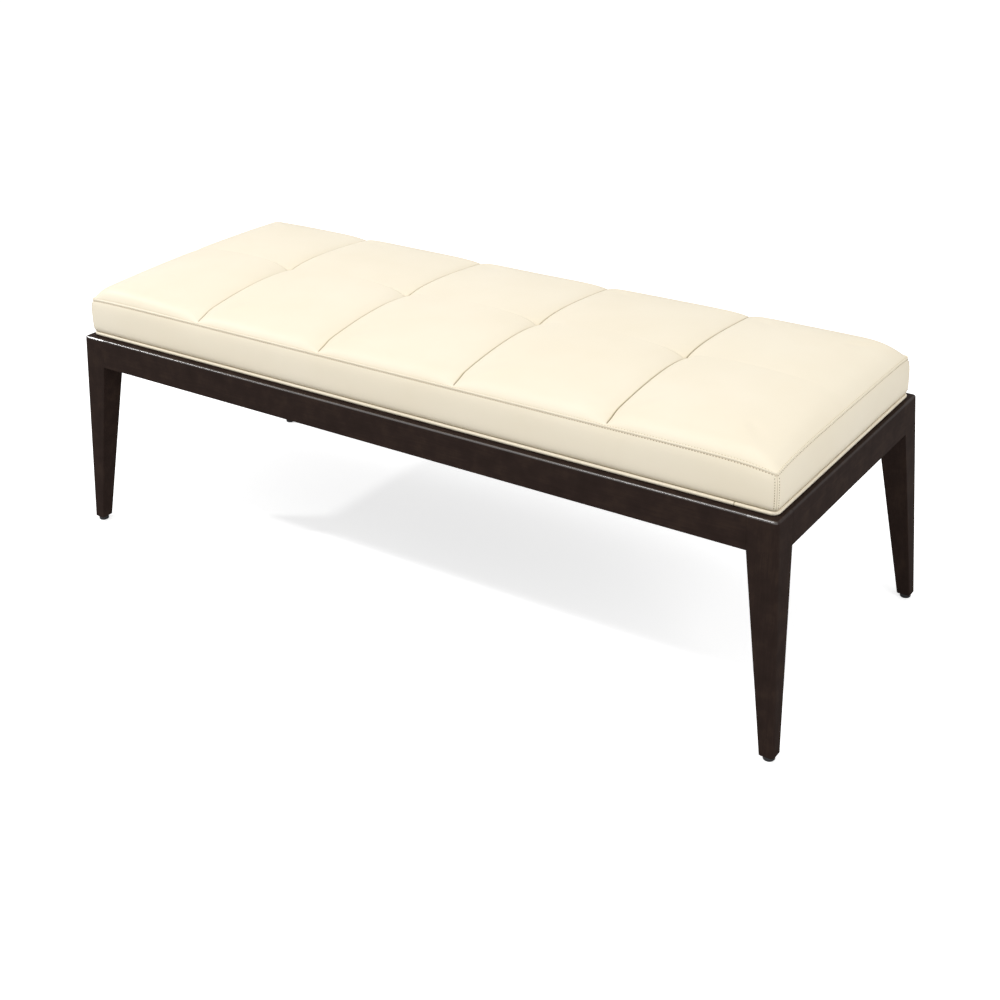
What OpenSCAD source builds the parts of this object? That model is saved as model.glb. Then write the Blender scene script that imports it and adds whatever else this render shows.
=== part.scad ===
// Waiting room bench: a tufted leather box cushion on a low hardwood frame with tapered legs.
// Millimetres, +Z up, origin on the floor under the middle of the bench, +X along its length.
// The front long side faces -Y.

/* [Frame] */
// Length over the end rails, at the top of the frame
frame_len = 1360; // [1150:10:1700]
// Depth over the long rails, at the top of the frame
frame_depth = 508; // [440:4:640]
// Height of the frame's top face above the floor
frame_h = 370; // [320:5:440]
// Lean of the rails' and legs' outer faces, degrees, outwards to the floor
lean_angle = 3.3; // [0:0.1:5]
// Height of the rails
rail_h = 52; // [46:1:70]
// Thickness of the rails
rail_t = 28; // [25:0.5:32]
// Radius of the eased outer top edge of rails and legs
ease_r = 3; // [1:0.25:5]

/* [Legs] */
// Width of a leg beside the rails, both ways
leg_w = 47; // [44:0.5:56]
// Width of a leg at the foot, both ways
foot_w = 23; // [20:0.5:34]
// Radius of the outer upright corner of a leg
leg_corner_r = 6; // [5.5:0.25:9]
// Radius of the other upright edges of a leg, below the rails
leg_edge_r = 2; // [1.75:0.25:3]
// Chamfer round the foot of a leg
foot_chamfer = 1.5; // [0.5:0.1:1.7]

/* [Glides] */
// Diameter of a glide
glide_d = 18; // [14:0.5:20]
// Height of a glide, which is the gap under the leg
glide_h = 8; // [6:0.5:12]
// Radius of a glide's lower edge
glide_edge_r = 2.5; // [1:0.25:4]
// Shank diameter of a glide nail
nail_d = 2.5; // [2:0.1:3]
// Length of a glide nail above the glide
nail_len = 18; // [12:1:24]
// Diameter of a glide nail's head
nail_head_d = 7; // [5:0.5:8]
// Thickness of a glide nail's head
nail_head_t = 1.5; // [1:0.1:2]
// Thickness of the glide above the nail's head
nail_seat = 3; // [2:0.25:3.5]

/* [Joinery] */
// Thickness of a rail's tenon
tenon_t = 10; // [8:0.5:12]
// Distance from a rail's outer face to its tenon
tenon_inset = 6; // [5:0.5:8]
// Length of a rail's tenon
tenon_len = 18; // [12:1:22]
// Shoulder above and below a tenon
tenon_shoulder = 5; // [3:0.5:8]
// Glue line between wooden pieces
glue_gap = 0.1; // [0.05:0.05:0.2]
// Free depth past the end of a tenon, dowel, bolt or nail in its hole
end_room = 1; // [0.5:0.25:2]

/* [Cross rails] */
// Distance of each cross rail from the middle of the bench
cross_rail_x = 227; // [190:1:330]
// Thickness of a cross rail, along the bench
cross_rail_t = 25; // [22:1:32]
// Height of a cross rail
cross_rail_h = 45; // [40:1:52]
// Diameter of a dowel
dowel_d = 10; // [8:0.5:12]
// Length of a dowel, half of it in each piece
dowel_len = 36; // [28:1:42]
// Distance between the two dowels of a joint
dowel_pitch = 20; // [16:1:24]

/* [Corner blocks] */
// How far a corner block reaches from the frame's outer corner, along each rail
block_reach = 104; // [98:1:130]
// Sum of the distances to the two outer faces, at the block's slanted face
block_span = 138; // [132:1:144]
// Height of a corner block
block_h = 35; // [30:1:42]
// Gap between a corner block and the leg
block_gap = 0.3; // [0.2:0.1:1]
// Diameter of the hanger bolt
bolt_d = 8; // [6:0.5:8]
// Depth of the hanger bolt in the leg
bolt_grip = 24; // [16:1:26]
// Length of the hanger bolt past its nut
bolt_tail = 5; // [2:0.5:10]
// Outer diameter of the hanger bolt's washer
bolt_washer_d = 20; // [16:0.5:22]
// Thickness of the hanger bolt's washer
bolt_washer_t = 1.6; // [1:0.1:2.4]
// Width across the flats of the hanger bolt's nut
bolt_nut_af = 13; // [12:0.5:14]
// Thickness of the hanger bolt's nut
bolt_nut_t = 6.5; // [5:0.25:8]
// Shank diameter of a block screw
block_screw_d = 4.2; // [3.5:0.1:5]
// Head diameter of a block screw
block_screw_head_d = 8; // [7:0.5:9]
// Head height of a block screw
block_screw_head_h = 2.8; // [2:0.1:3.5]
// Depth of a block screw in its rail
block_screw_grip = 13; // [10:1:18]
// Wood under the head of a block screw
block_screw_wall = 12; // [8:1:13]
// Distance of a block screw from the frame's outer corner
block_screw_in = 90; // [86:1:92]

/* [Deck] */
// Thickness of the plywood seat deck
deck_t = 15; // [12:1:18]
// Gap between the frame and the deck, filled by the welt's tail and the dust cover
deck_lift = 1.5; // [1.2:0.1:2.5]
// Diameter of a deck screw
deck_screw_d = 5; // [4:0.25:5.5]
// Depth of a deck screw in the deck and its tee nut
deck_screw_grip = 12; // [9:0.5:14]
// Head diameter of a deck screw
deck_screw_head_d = 9; // [8:0.5:10]
// Head height of a deck screw
deck_screw_head_h = 3.2; // [2:0.2:4]
// Washer diameter of a deck screw
deck_washer_d = 14; // [12:0.5:15]
// Washer thickness of a deck screw
deck_washer_t = 1.2; // [1:0.1:2]
// Distance of a corner deck screw from the end rail's outer face
deck_screw_u = 76; // [72:1:82]
// Distance of a cross rail's deck screw from the middle line
deck_screw_y = 110; // [60:5:150]
// Flange diameter of a tee nut
tee_flange_d = 17; // [14:0.5:20]
// Flange thickness of a tee nut
tee_flange_t = 1.2; // [1:0.1:1.6]
// Barrel diameter of a tee nut
tee_barrel_d = 7; // [6.5:0.1:8]
// Length of a tee nut
tee_len = 9; // [7:0.5:11]
// Radial clearance round fasteners in their holes
fastener_fit = 0.2; // [0.1:0.05:0.4]

/* [Cushion] */
// Distance of the cushion from the frame's edge at the long sides
cushion_in_side = 13; // [10:1:24]
// Distance of the cushion from the frame's edge at the ends
cushion_in_end = 8.5; // [6:0.5:24]
// Corner radius of the cushion seen from above
cushion_corner_r = 9; // [8:0.5:20]
// Height of the top seam above the frame
seam_h = 65; // [56:1:88]
// Height to which the leather rolls up from the top seam
crown_h = 24; // [14:1:32]
// Distance over which it rolls up from the long sides
crown_side = 19; // [15:1:60]
// Distance over which it rolls up from the ends
crown_end = 48; // [30:1:90]
// Further rise of the stuffing in the middle
dome_h = 17.5; // [4:0.5:26]
// Number of panels along the bench
panels = 5; // [4:1:6]
// Depth to which a cross seam pulls the leather in
seam_pinch = 6; // [3:0.5:12]
// Half width of the hollow along a cross seam
seam_hollow = 20; // [10:1:30]
// Depth of the crease along the middle
crease_depth = 1.5; // [1:0.25:5]
// Half width of the crease along the middle
crease_hollow = 12; // [8:1:20]
// Further depth at a blind tuft
tuft_depth = 9; // [3:0.5:12]
// Radius of the hollow round a blind tuft
tuft_hollow = 44; // [20:1:60]
// Thickness of the boxing bands, leather with its wadding
band_t = 6; // [4.5:0.25:6.5]
// How far a boxing band rolls in at its foot
band_roll = 4; // [2:0.25:4.25]
// Height of the roll at the foot of a boxing band
band_roll_h = 13; // [8:1:22]
// How far a boxing band draws in under the top seam
band_draw = 2; // [0.5:0.25:3]
// Height of the lip that the top seam raises
lip_h = 3; // [2:0.25:5]
// Gap between soft pieces and their neighbours
soft_gap = 0.3; // [0.2:0.05:0.4]

/* [Welt] */
// Diameter of the welt round the foot of the cushion
welt_d = 6; // [4.5:0.25:8]
// How far the welt stands out past the cushion's side
welt_out = 0.5; // [0:0.25:2]
// Width of the welt's tail, stapled under the deck
welt_tail_w = 16; // [12:1:20]

/* [Tufts and dust cover] */
// Diameter of a tuft tie
tie_d = 2.5; // [1.5:0.25:3]
// Diameter of the knot under a tuft anchor
knot_d = 4.4; // [3.5:0.1:4.8]
// Diameter of a tuft anchor
anchor_d = 28; // [20:1:32]
// Thickness of a tuft anchor
anchor_t = 3; // [2:0.25:3]
// Depth of the recess for a tuft anchor under the deck
anchor_recess = 8; // [8:0.5:10]
// Gap between the welt's tail and the dust cover
cover_gap = 0.5; // [0.3:0.1:3]

/* [Hidden] */

// Finishes
espresso = [0.13, 0.10, 0.09];
plywood_tan = [0.80, 0.66, 0.46];
cream = [0.96, 0.92, 0.82];
foam_white = [0.93, 0.91, 0.84];
cambric = [0.12, 0.12, 0.13];
zinc = [0.72, 0.72, 0.70];
glide_black = [0.06, 0.06, 0.06];

// Smoothness of round shapes
fine = 48;
// Overshoot of a cut past a face
over = 1;

// Frame
half_len = frame_len / 2;
half_depth = frame_depth / 2;
lean = tan(lean_angle);
rail_bottom = frame_h - rail_h;
foot_z = glide_h;
// How far the outer faces stand out at height z, past their place at the top of the frame
function out(z) = (frame_h - z) * lean;

// Corner blocks and their fasteners
block_bottom = frame_h - block_h;
bolt_z = frame_h - block_h / 2;
leg_corner_s = (leg_w - out(bolt_z)) * sqrt(2);
block_face_s = block_span / sqrt(2);
bolt_start_s = leg_corner_s - bolt_grip;
bolt_end_s = block_face_s + bolt_washer_t + bolt_nut_t + bolt_tail;
block_screw_seat = rail_t - out(bolt_z) + block_screw_wall;
block_screw_tip = rail_t - out(bolt_z) - block_screw_grip;

// Deck and cushion
half_cushion_x = half_len - cushion_in_end;
half_cushion_y = half_depth - cushion_in_side;
deck_bottom = frame_h + deck_lift;
deck_top = deck_bottom + deck_t;
deck_screw_len = block_h + deck_lift + deck_screw_grip;
deck_head_z = block_bottom - deck_washer_t;
// The welt's tube hangs a little lower than its tail
welt_sag = 0.1;
tail_z = frame_h + soft_gap + welt_sag;
tail_t = deck_lift - 2 * soft_gap - welt_sag;
welt_z = frame_h + soft_gap + welt_d / 2;
welt_in = welt_d / 2 - welt_out;
band_bottom = welt_z + welt_d / 2 + soft_gap;
seam_z = frame_h + seam_h;
band_top = seam_z - lip_h / 2 - soft_gap;
rim_bottom = band_top + soft_gap;
inner_in = band_t + soft_gap;
panel_len = 2 * half_cushion_x / panels;
seam_xs = [for (i = [1:panels - 1]) -half_cushion_x + i * panel_len];
anchor_top = deck_bottom + anchor_recess - soft_gap / 3;
cover_in = welt_in + welt_tail_w + cover_gap;
// The corner deck screws stand just inside the welt's tail
deck_screw_v = cushion_in_side + cover_in + 2 * deck_screw_d;
deck_screw_places = concat(
    [for (sx = [-1, 1], sy = [-1, 1]) [sx * (half_len - deck_screw_u), sy * (half_depth - deck_screw_v)]],
    [for (sx = [-1, 1], sy = [-1, 1]) [sx * cross_rail_x, sy * deck_screw_y]]
);
// Heights of the two dowels of a joint
dowel_zs = [for (side = [-1, 1]) frame_h - cross_rail_h / 2 + side * dowel_pitch / 2];

// Rim of the quilted top, where the bands draw in to the top seam
rim_x = half_cushion_x - band_draw;
rim_y = half_cushion_y - band_draw;
rim_r = cushion_corner_r - band_draw;

// Net of the quilted top: its lines over one panel, over half the depth, and beside the edges
panel_steps = [0, 0.04, 0.14, 0.32, 0.68, 0.86, 0.96];
depth_steps = [0, 0.03, 0.1, 0.22, 0.42, 0.66, 0.86];
edge_steps = [0, rim_r / 4, 0.6 * rim_r, rim_r, rim_r + crown_side / 2];
net_margin = rim_r + crown_side / 2 + 4;
panel_xs = [for (i = [0:panels - 1], t = panel_steps)
    let (x = -half_cushion_x + (i + t) * panel_len)
    if (rim_x - abs(x) > net_margin) x];
depth_ys = [for (t = depth_steps)
    if (rim_y * (1 - t) > net_margin) t * rim_y];
net_xs = concat(
    [for (e = edge_steps) -rim_x + e],
    panel_xs,
    [for (i = [len(edge_steps) - 1:-1:0]) rim_x - edge_steps[i]]
);
net_ys = concat(
    [for (e = edge_steps) -rim_y + e],
    [for (i = [len(depth_ys) - 1:-1:1]) -depth_ys[i]],
    depth_ys,
    [for (i = [len(edge_steps) - 1:-1:0]) rim_y - edge_steps[i]]
);

// Copies a piece modelled at the rear right corner to another corner
module at_corner(side_x, side_y) {
    mirror([side_x < 0 ? 1 : 0, 0, 0])
        mirror([0, side_y < 0 ? 1 : 0, 0])
            children();
}

// The same piece at all four corners
module at_corners() {
    for (sx = [-1, 1], sy = [-1, 1])
        at_corner(sx, sy) children();
}

// Turns +Z to run from the rear right outer corner of the frame to its middle, at the bolts' height
module along_bolt(s) {
    translate([half_len, half_depth, bolt_z])
        rotate([0, 0, 225])
            rotate([0, 90, 0])
                translate([0, 0, s])
                    children();
}

// A rectangle with rounded corners, from its half sizes
module round_rect(hx, hy, r) {
    square([2 * hx, 2 * (hy - r)], center = true);
    square([2 * (hx - r), 2 * hy], center = true);
    for (sx = [-1, 1], sy = [-1, 1])
        translate([sx * (hx - r), sy * (hy - r)])
            circle(r, $fn = fine);
}

// A space between two heights, from inner to outer distances measured from the leaning outer face,
// drawn with the distance along +X
module leaning_strip(half, inner, outer, z0, z1) {
    polygon([
        [half + out(z0) - inner, z0], [half + out(z0) - outer, z0],
        [half + out(z1) - outer, z1], [half + out(z1) - inner, z1]
    ]);
}

// A run between two leaning outer faces, drawn with the run along X, its ends a distance behind them
module leaning_run(half, behind, z0, z1) {
    polygon([
        [behind - half - out(z0), z0], [half + out(z0) - behind, z0],
        [half + out(z1) - behind, z1], [behind - half - out(z1), z1]
    ]);
}

// Extrudes a profile drawn in X and Z along the whole depth
module through_y(width) {
    rotate([90, 0, 0])
        linear_extrude(width, center = true)
            children();
}

// Extrudes a profile drawn in Y and Z along the whole length
module through_x(length) {
    rotate([90, 0, 90])
        linear_extrude(length, center = true)
            children();
}

// Outline of a leg at height z: inset from the outer faces, width, and the radii of its corners
function leg_ring(z, inset, width, outer_r, side_r, inner_r) =
    let (
        x1 = half_len + out(z) - inset,
        x0 = half_len + out(z) - inset - width,
        y1 = half_depth + out(z) - inset,
        y0 = half_depth + out(z) - inset - width,
        steps = 6
    )
    concat(
        [for (i = [0:steps]) let (a = 90 * i / steps)
            [x1 - outer_r + outer_r * cos(a), y1 - outer_r + outer_r * sin(a), z]],
        [for (i = [0:steps]) let (a = 90 + 90 * i / steps)
            [x0 + side_r + side_r * cos(a), y1 - side_r + side_r * sin(a), z]],
        [for (i = [0:steps]) let (a = 180 + 90 * i / steps)
            [x0 + inner_r + inner_r * cos(a), y0 + inner_r + inner_r * sin(a), z]],
        [for (i = [0:steps]) let (a = 270 + 90 * i / steps)
            [x1 - side_r + side_r * cos(a), y0 + side_r + side_r * sin(a), z]]
    );

// Skins a stack of rings with the same number of points, top ring first
module loft(rings) {
    n = len(rings[0]);
    last = len(rings) - 1;
    points = [for (ring = rings) each ring];
    sides = [for (k = [0:last - 1], i = [0:n - 1])
        let (a = k * n + i, b = k * n + (i + 1) % n)
        each [[a, b, b + n], [a, b + n, a + n]]];
    lid = [for (i = [1:n - 2]) [0, i + 1, i]];
    base = [for (i = [1:n - 2]) [last * n, last * n + i, last * n + i + 1]];
    polyhedron(points, concat(lid, sides, base));
}

// A leg at the rear right corner, before its mortises: square beside the rails, then tapered
module leg_body() {
    joint_r = 0.3;
    top = [for (a = [0:30:90])
        let (inset = ease_r * (1 - sin(a)))
        leg_ring(frame_h - ease_r * (1 - cos(a)), inset, leg_w - inset,
            leg_corner_r - inset, joint_r, joint_r)];
    shaft = [
        leg_ring(rail_bottom, 0, leg_w, leg_corner_r, joint_r, leg_edge_r),
        leg_ring(foot_z + foot_chamfer, 0, foot_w, leg_corner_r, leg_edge_r, leg_edge_r),
        leg_ring(foot_z, foot_chamfer, foot_w - 2 * foot_chamfer, leg_corner_r - foot_chamfer,
            leg_edge_r - foot_chamfer, leg_edge_r - foot_chamfer)
    ];
    loft(concat(top, shaft));
}

// The tenon of a rail, or its mortise with room round it, drawn in depth and height
module tenon_profile(half, room) {
    leaning_strip(half, tenon_inset + tenon_t + room, tenon_inset - room,
        rail_bottom + tenon_shoulder - room, frame_h - tenon_shoulder + room);
}

// The reach of a tenon past its shoulder, or of its mortise, drawn in run and height
module tenon_reach(half, from, to) {
    leaning_strip(half, from, to, rail_bottom, frame_h);
}

// Both mortises of the rear right leg
module mortises() {
    deep = leg_w - tenon_len - end_room;
    intersection() {
        through_x(3 * frame_len) tenon_profile(half_depth, glue_gap);
        through_y(3 * frame_len) tenon_reach(half_len, leg_w + over, deep);
    }
    intersection() {
        through_y(3 * frame_len) tenon_profile(half_len, glue_gap);
        through_x(3 * frame_len) tenon_reach(half_depth, leg_w + over, deep);
    }
}

// Middle of the foot of the rear right leg
function foot_centre() = [
    half_len + out(foot_z) - foot_w / 2,
    half_depth + out(foot_z) - foot_w / 2
];

module leg(side_x, side_y) {
    color(espresso)
        at_corner(side_x, side_y)
            difference() {
                leg_body();
                mortises();
                along_bolt(bolt_start_s - end_room)
                    cylinder(d = bolt_d + 2 * fastener_fit, h = bolt_grip + end_room + leg_w, $fn = fine);
                translate([foot_centre()[0], foot_centre()[1], foot_z - over])
                    cylinder(d = nail_d + 2 * glue_gap, h = nail_len + end_room + over, $fn = fine);
            }
}

// Section of a rail with its eased outer top edge, drawn in depth and height, outer face at +X
module rail_section(half) {
    centre = [half + lean * ease_r - ease_r / cos(lean_angle), frame_h - ease_r];
    on_top = [centre[0], frame_h];
    on_face = [centre[0] + ease_r * cos(lean_angle), centre[1] + ease_r * sin(lean_angle)];
    difference() {
        leaning_strip(half, rail_t, 0, rail_bottom, frame_h);
        difference() {
            polygon([centre, on_face, on_face + [over, 0], [half + over, frame_h + over],
                on_top + [0, over], on_top]);
            translate(centre)
                circle(ease_r, $fn = 2 * fine);
        }
    }
}

// A rail along X whose outer face is at +Y, with its tenons
module rail_body(half_run, half_face) {
    intersection() {
        through_x(3 * frame_len) rail_section(half_face);
        through_y(3 * frame_len)
            leaning_run(half_run, leg_w + glue_gap, rail_bottom - over, frame_h + over);
    }
    for (side = [0, 1])
        mirror([side, 0, 0])
            intersection() {
                through_x(3 * frame_len) tenon_profile(half_face, 0);
                through_y(3 * frame_len) tenon_reach(half_run, leg_w + over, leg_w - tenon_len);
            }
}

// Pilot holes of the block screws in a rail along X
module rail_screw_holes(half_run, half_face) {
    for (side = [-1, 1])
        translate([side * (half_run - block_screw_in), half_face - block_screw_tip + end_room, bolt_z])
            rotate([90, 0, 0])
                cylinder(d = block_screw_d + 2 * fastener_fit,
                    h = block_screw_grip + end_room + over, $fn = fine);
}

// Where the middle of a dowel lies, from the middle line, at the rail's inner face
function dowel_y(z) = half_depth + out(z) - rail_t;

// Dowels of a long rail, or their holes with room round them
module dowels(room, end) {
    for (sx = [-1, 1], z = dowel_zs)
        translate([sx * cross_rail_x, dowel_y(z) + dowel_len / 2 + end, z])
            rotate([90, 0, 0])
                cylinder(d = dowel_d + 2 * room, h = dowel_len + 2 * end, $fn = fine);
}

module long_rail(side_y) {
    color(espresso)
        at_corner(1, side_y)
            difference() {
                rail_body(half_len, half_depth);
                rail_screw_holes(half_len, half_depth);
                dowels(glue_gap, end_room);
            }
}

module end_rail(side_x) {
    color(espresso)
        at_corner(side_x, 1)
            rotate([0, 0, -90])
                difference() {
                    rail_body(half_depth, half_len);
                    rail_screw_holes(half_depth, half_len);
                }
}

module glide(side_x, side_y) {
    color(glide_black)
        at_corner(side_x, side_y)
            translate([foot_centre()[0], foot_centre()[1], 0])
                difference() {
                    rotate_extrude($fn = fine)
                        glide_profile();
                    translate([0, 0, glide_h - nail_head_t - nail_seat])
                        cylinder(d = nail_d + 2 * glue_gap, h = glide_h, $fn = fine);
                    translate([0, 0, -over])
                        cylinder(d = nail_head_d + 2 * glue_gap,
                            h = glide_h - nail_seat + over, $fn = fine);
                }
}

// Half section of a glide: a disc with a rounded lower edge
module glide_profile() {
    square([glide_d / 2 - glide_edge_r, glide_h]);
    translate([0, glide_edge_r])
        square([glide_d / 2, glide_h - glide_edge_r]);
    intersection() {
        translate([glide_d / 2 - glide_edge_r, glide_edge_r])
            circle(glide_edge_r, $fn = fine);
        square([glide_d / 2, glide_h]);
    }
}

module glide_nails() {
    head_top = glide_h - nail_seat - glue_gap;
    color(zinc)
        at_corners()
            translate([foot_centre()[0], foot_centre()[1], head_top - nail_head_t]) {
                cylinder(d = nail_head_d, h = nail_head_t, $fn = fine);
                cylinder(d = nail_d, h = nail_head_t + nail_seat + glue_gap + nail_len, $fn = fine);
            }
}

module cross_rail(side_x) {
    color(espresso)
        difference() {
            translate([side_x * cross_rail_x, 0, 0])
                through_x(cross_rail_t)
                    leaning_run(half_depth, rail_t + glue_gap, frame_h - cross_rail_h, frame_h);
            for (side = [0, 1])
                mirror([0, side, 0])
                    dowels(glue_gap, end_room);
            for (sy = [-1, 1])
                translate([side_x * cross_rail_x, sy * deck_screw_y, 0]) {
                    deck_screw_hole();
                    translate([0, 0, frame_h - cross_rail_h - over])
                        cylinder(d = deck_washer_d + 4 * fastener_fit,
                            h = over + cross_rail_h - block_h, $fn = fine);
                }
        }
}

module cross_rail_dowels() {
    color(plywood_tan)
        for (side = [0, 1])
            mirror([0, side, 0])
                dowels(0, 0);
}

// Clearance hole of a deck screw through the wood under the deck
module deck_screw_hole() {
    translate([0, 0, frame_h - 2 * block_h])
        cylinder(d = deck_screw_d + 2 * fastener_fit, h = 2 * block_h + over, $fn = fine);
}

// The space of the rear right leg beside the rails, grown by a gap
module leg_keepout() {
    intersection() {
        through_y(3 * frame_len)
            leaning_strip(half_len, leg_w + block_gap, -leg_w, block_bottom - over, frame_h + over);
        through_x(3 * frame_len)
            leaning_strip(half_depth, leg_w + block_gap, -leg_w, block_bottom - over, frame_h + over);
    }
}

// Shank hole and head seat of a block screw along +Y, in the corner block
module block_screw_hole(half_run, half_face) {
    translate([half_run - block_screw_in, half_face - block_screw_seat, bolt_z]) {
        rotate([-90, 0, 0])
            translate([0, 0, -over])
                cylinder(d = block_screw_d + 2 * fastener_fit, h = rail_t, $fn = fine);
        rotate([90, 0, 0])
            cylinder(d = block_screw_head_d + 4 * fastener_fit, h = block_span, $fn = fine);
    }
}

// Swaps the two sides of the frame's rear right corner
module swap_sides() {
    translate([half_len, half_depth, 0])
        mirror([1, -1, 0])
            translate([-half_len, -half_depth, 0])
                children();
}

module corner_block(side_x, side_y) {
    color(espresso)
        at_corner(side_x, side_y)
            difference() {
                intersection() {
                    translate([0, 0, block_bottom])
                        linear_extrude(block_h)
                            intersection() {
                                polygon([
                                    [half_len, half_depth], [half_len - block_span, half_depth],
                                    [half_len, half_depth - block_span]
                                ]);
                                translate([half_len - block_reach, half_depth - block_reach])
                                    square(block_reach);
                            }
                    through_y(3 * frame_len)
                        leaning_strip(half_len, block_span, rail_t + glue_gap,
                            block_bottom - over, frame_h + over);
                    through_x(3 * frame_len)
                        leaning_strip(half_depth, block_span, rail_t + glue_gap,
                            block_bottom - over, frame_h + over);
                }
                leg_keepout();
                along_bolt(0)
                    cylinder(d = bolt_d + 4 * fastener_fit, h = 2 * block_span, $fn = fine);
                block_screw_hole(half_len, half_depth);
                swap_sides()
                    block_screw_hole(half_len, half_depth);
                translate([half_len - deck_screw_u, half_depth - deck_screw_v, 0])
                    deck_screw_hole();
            }
}

// A block screw with its shank along +Y and its head seated in the block
module block_screw() {
    translate([half_len - block_screw_in, half_depth - block_screw_seat, bolt_z]) {
        rotate([-90, 0, 0])
            cylinder(d = block_screw_d, h = block_screw_seat - block_screw_tip, $fn = fine);
        rotate([90, 0, 0])
            cylinder(d1 = block_screw_head_d, d2 = 0.7 * block_screw_head_d, h = block_screw_head_h,
                $fn = fine);
    }
}

module block_screws() {
    color(zinc)
        at_corners() {
            block_screw();
            swap_sides() block_screw();
        }
}

module hanger_bolts() {
    color(zinc)
        at_corners()
            along_bolt(bolt_start_s)
                cylinder(d = bolt_d, h = bolt_end_s - bolt_start_s, $fn = fine);
}

module hanger_bolt_washers() {
    color(zinc)
        at_corners()
            along_bolt(block_face_s)
                difference() {
                    cylinder(d = bolt_washer_d, h = bolt_washer_t, $fn = fine);
                    translate([0, 0, -over])
                        cylinder(d = bolt_d + 2 * fastener_fit, h = bolt_washer_t + 2 * over, $fn = fine);
                }
}

module hanger_bolt_nuts() {
    color(zinc)
        at_corners()
            along_bolt(block_face_s + bolt_washer_t)
                difference() {
                    cylinder(d = bolt_nut_af / cos(30), h = bolt_nut_t, $fn = 6);
                    translate([0, 0, -over])
                        cylinder(d = bolt_d + glue_gap, h = bolt_nut_t + 2 * over, $fn = fine);
                }
}

module seat_deck() {
    color(plywood_tan)
        difference() {
            translate([0, 0, deck_bottom])
                linear_extrude(deck_t)
                    round_rect(half_cushion_x - inner_in, half_cushion_y - inner_in,
                        cushion_corner_r - inner_in);
            for (p = deck_screw_places)
                translate([p[0], p[1], 0]) {
                    translate([0, 0, deck_bottom - over])
                        cylinder(d = tee_barrel_d + 2 * glue_gap, h = deck_t + 2 * over, $fn = fine);
                    translate([0, 0, deck_top - tee_flange_t - glue_gap])
                        cylinder(d = tee_flange_d + 2 * glue_gap, h = tee_flange_t + over, $fn = fine);
                }
            for (x = seam_xs)
                translate([x, 0, deck_bottom - over]) {
                    cylinder(d = anchor_d + 4 * soft_gap, h = anchor_recess + over, $fn = fine);
                    cylinder(d = tie_d + 4 * soft_gap, h = deck_t + 2 * over, $fn = fine);
                }
        }
}

module deck_tee_nuts() {
    color(zinc)
        for (p = deck_screw_places)
            translate([p[0], p[1], deck_top - tee_len])
                difference() {
                    union() {
                        cylinder(d = tee_barrel_d, h = tee_len, $fn = fine);
                        translate([0, 0, tee_len - tee_flange_t])
                            cylinder(d = tee_flange_d, h = tee_flange_t, $fn = fine);
                    }
                    translate([0, 0, -over])
                        cylinder(d = deck_screw_d + 2 * fastener_fit, h = tee_len + 2 * over, $fn = fine);
                }
}

module deck_screws() {
    color(zinc)
        for (p = deck_screw_places)
            translate([p[0], p[1], deck_head_z]) {
                cylinder(d = deck_screw_d, h = deck_washer_t + deck_screw_len, $fn = fine);
                translate([0, 0, -deck_screw_head_h])
                    cylinder(d1 = 0.75 * deck_screw_head_d, d2 = deck_screw_head_d,
                        h = deck_screw_head_h, $fn = fine);
            }
}

module deck_screw_washers() {
    color(zinc)
        for (p = deck_screw_places)
            translate([p[0], p[1], deck_head_z])
                difference() {
                    cylinder(d = deck_washer_d, h = deck_washer_t, $fn = fine);
                    translate([0, 0, -over])
                        cylinder(d = deck_screw_d + 2 * fastener_fit, h = deck_washer_t + 2 * over,
                            $fn = fine);
                }
}

module dust_cover() {
    color(cambric)
        translate([0, 0, tail_z])
            linear_extrude(tail_t)
                difference() {
                    square([2 * (half_cushion_x - cover_in), 2 * (half_cushion_y - cover_in)],
                        center = true);
                    for (p = deck_screw_places)
                        translate(p)
                            circle(d = deck_screw_d + 4 * fastener_fit, $fn = fine);
                }
}

module foam_core() {
    color(foam_white)
        difference() {
            translate([0, 0, deck_top + soft_gap])
                linear_extrude(band_top - deck_top - soft_gap)
                    round_rect(half_cushion_x - inner_in, half_cushion_y - inner_in,
                        cushion_corner_r - inner_in);
            for (x = seam_xs)
                translate([x, 0, deck_top])
                    cylinder(d = tie_d + 4 * soft_gap, h = seam_h, $fn = fine);
        }
}

// How much of its full rise the roll at an edge has at a distance from that edge
function roll_part(distance, reach) =
    distance >= reach ? 1 : pow(1 - pow(1 - distance / reach, 1.3), 1 / 1.3);

// Depth of a hollow at a distance from its line
function hollow(distance, depth, half_width) = depth * exp(-distance / half_width);

// Distance from the nearest cross seam
function seam_distance(x) = min([for (s = seam_xs) abs(x - s)]);

// Height of the leather at a point of the top
function top_z(x, y) =
    let (
        rise = roll_part(rim_x - abs(x), crown_end) * roll_part(rim_y - abs(y), crown_side),
        dome = (1 - pow(y / rim_y, 2)) * (1 - pow(x / rim_x, 4)),
        s = seam_distance(x)
    )
    seam_z + crown_h * rise + dome_h * dome
        - rise * hollow(s, seam_pinch, seam_hollow)
        - rise * hollow(abs(y), crease_depth, crease_hollow)
        - hollow(sqrt(s * s + y * y), tuft_depth, tuft_hollow);

// Draws a point of the rectangular net in to the rounded corner
function corner_in(x, y) =
    let (
        cx = rim_x - rim_r,
        cy = rim_y - rim_r,
        vx = max(abs(x) - cx, 0),
        vy = max(abs(y) - cy, 0),
        k = vx > 0 && vy > 0 ? max(vx, vy) / sqrt(vx * vx + vy * vy) : 1
    )
    vx > 0 && vy > 0 ? [sign(x) * (cx + vx * k), sign(y) * (cy + vy * k)] : [x, y];

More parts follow.
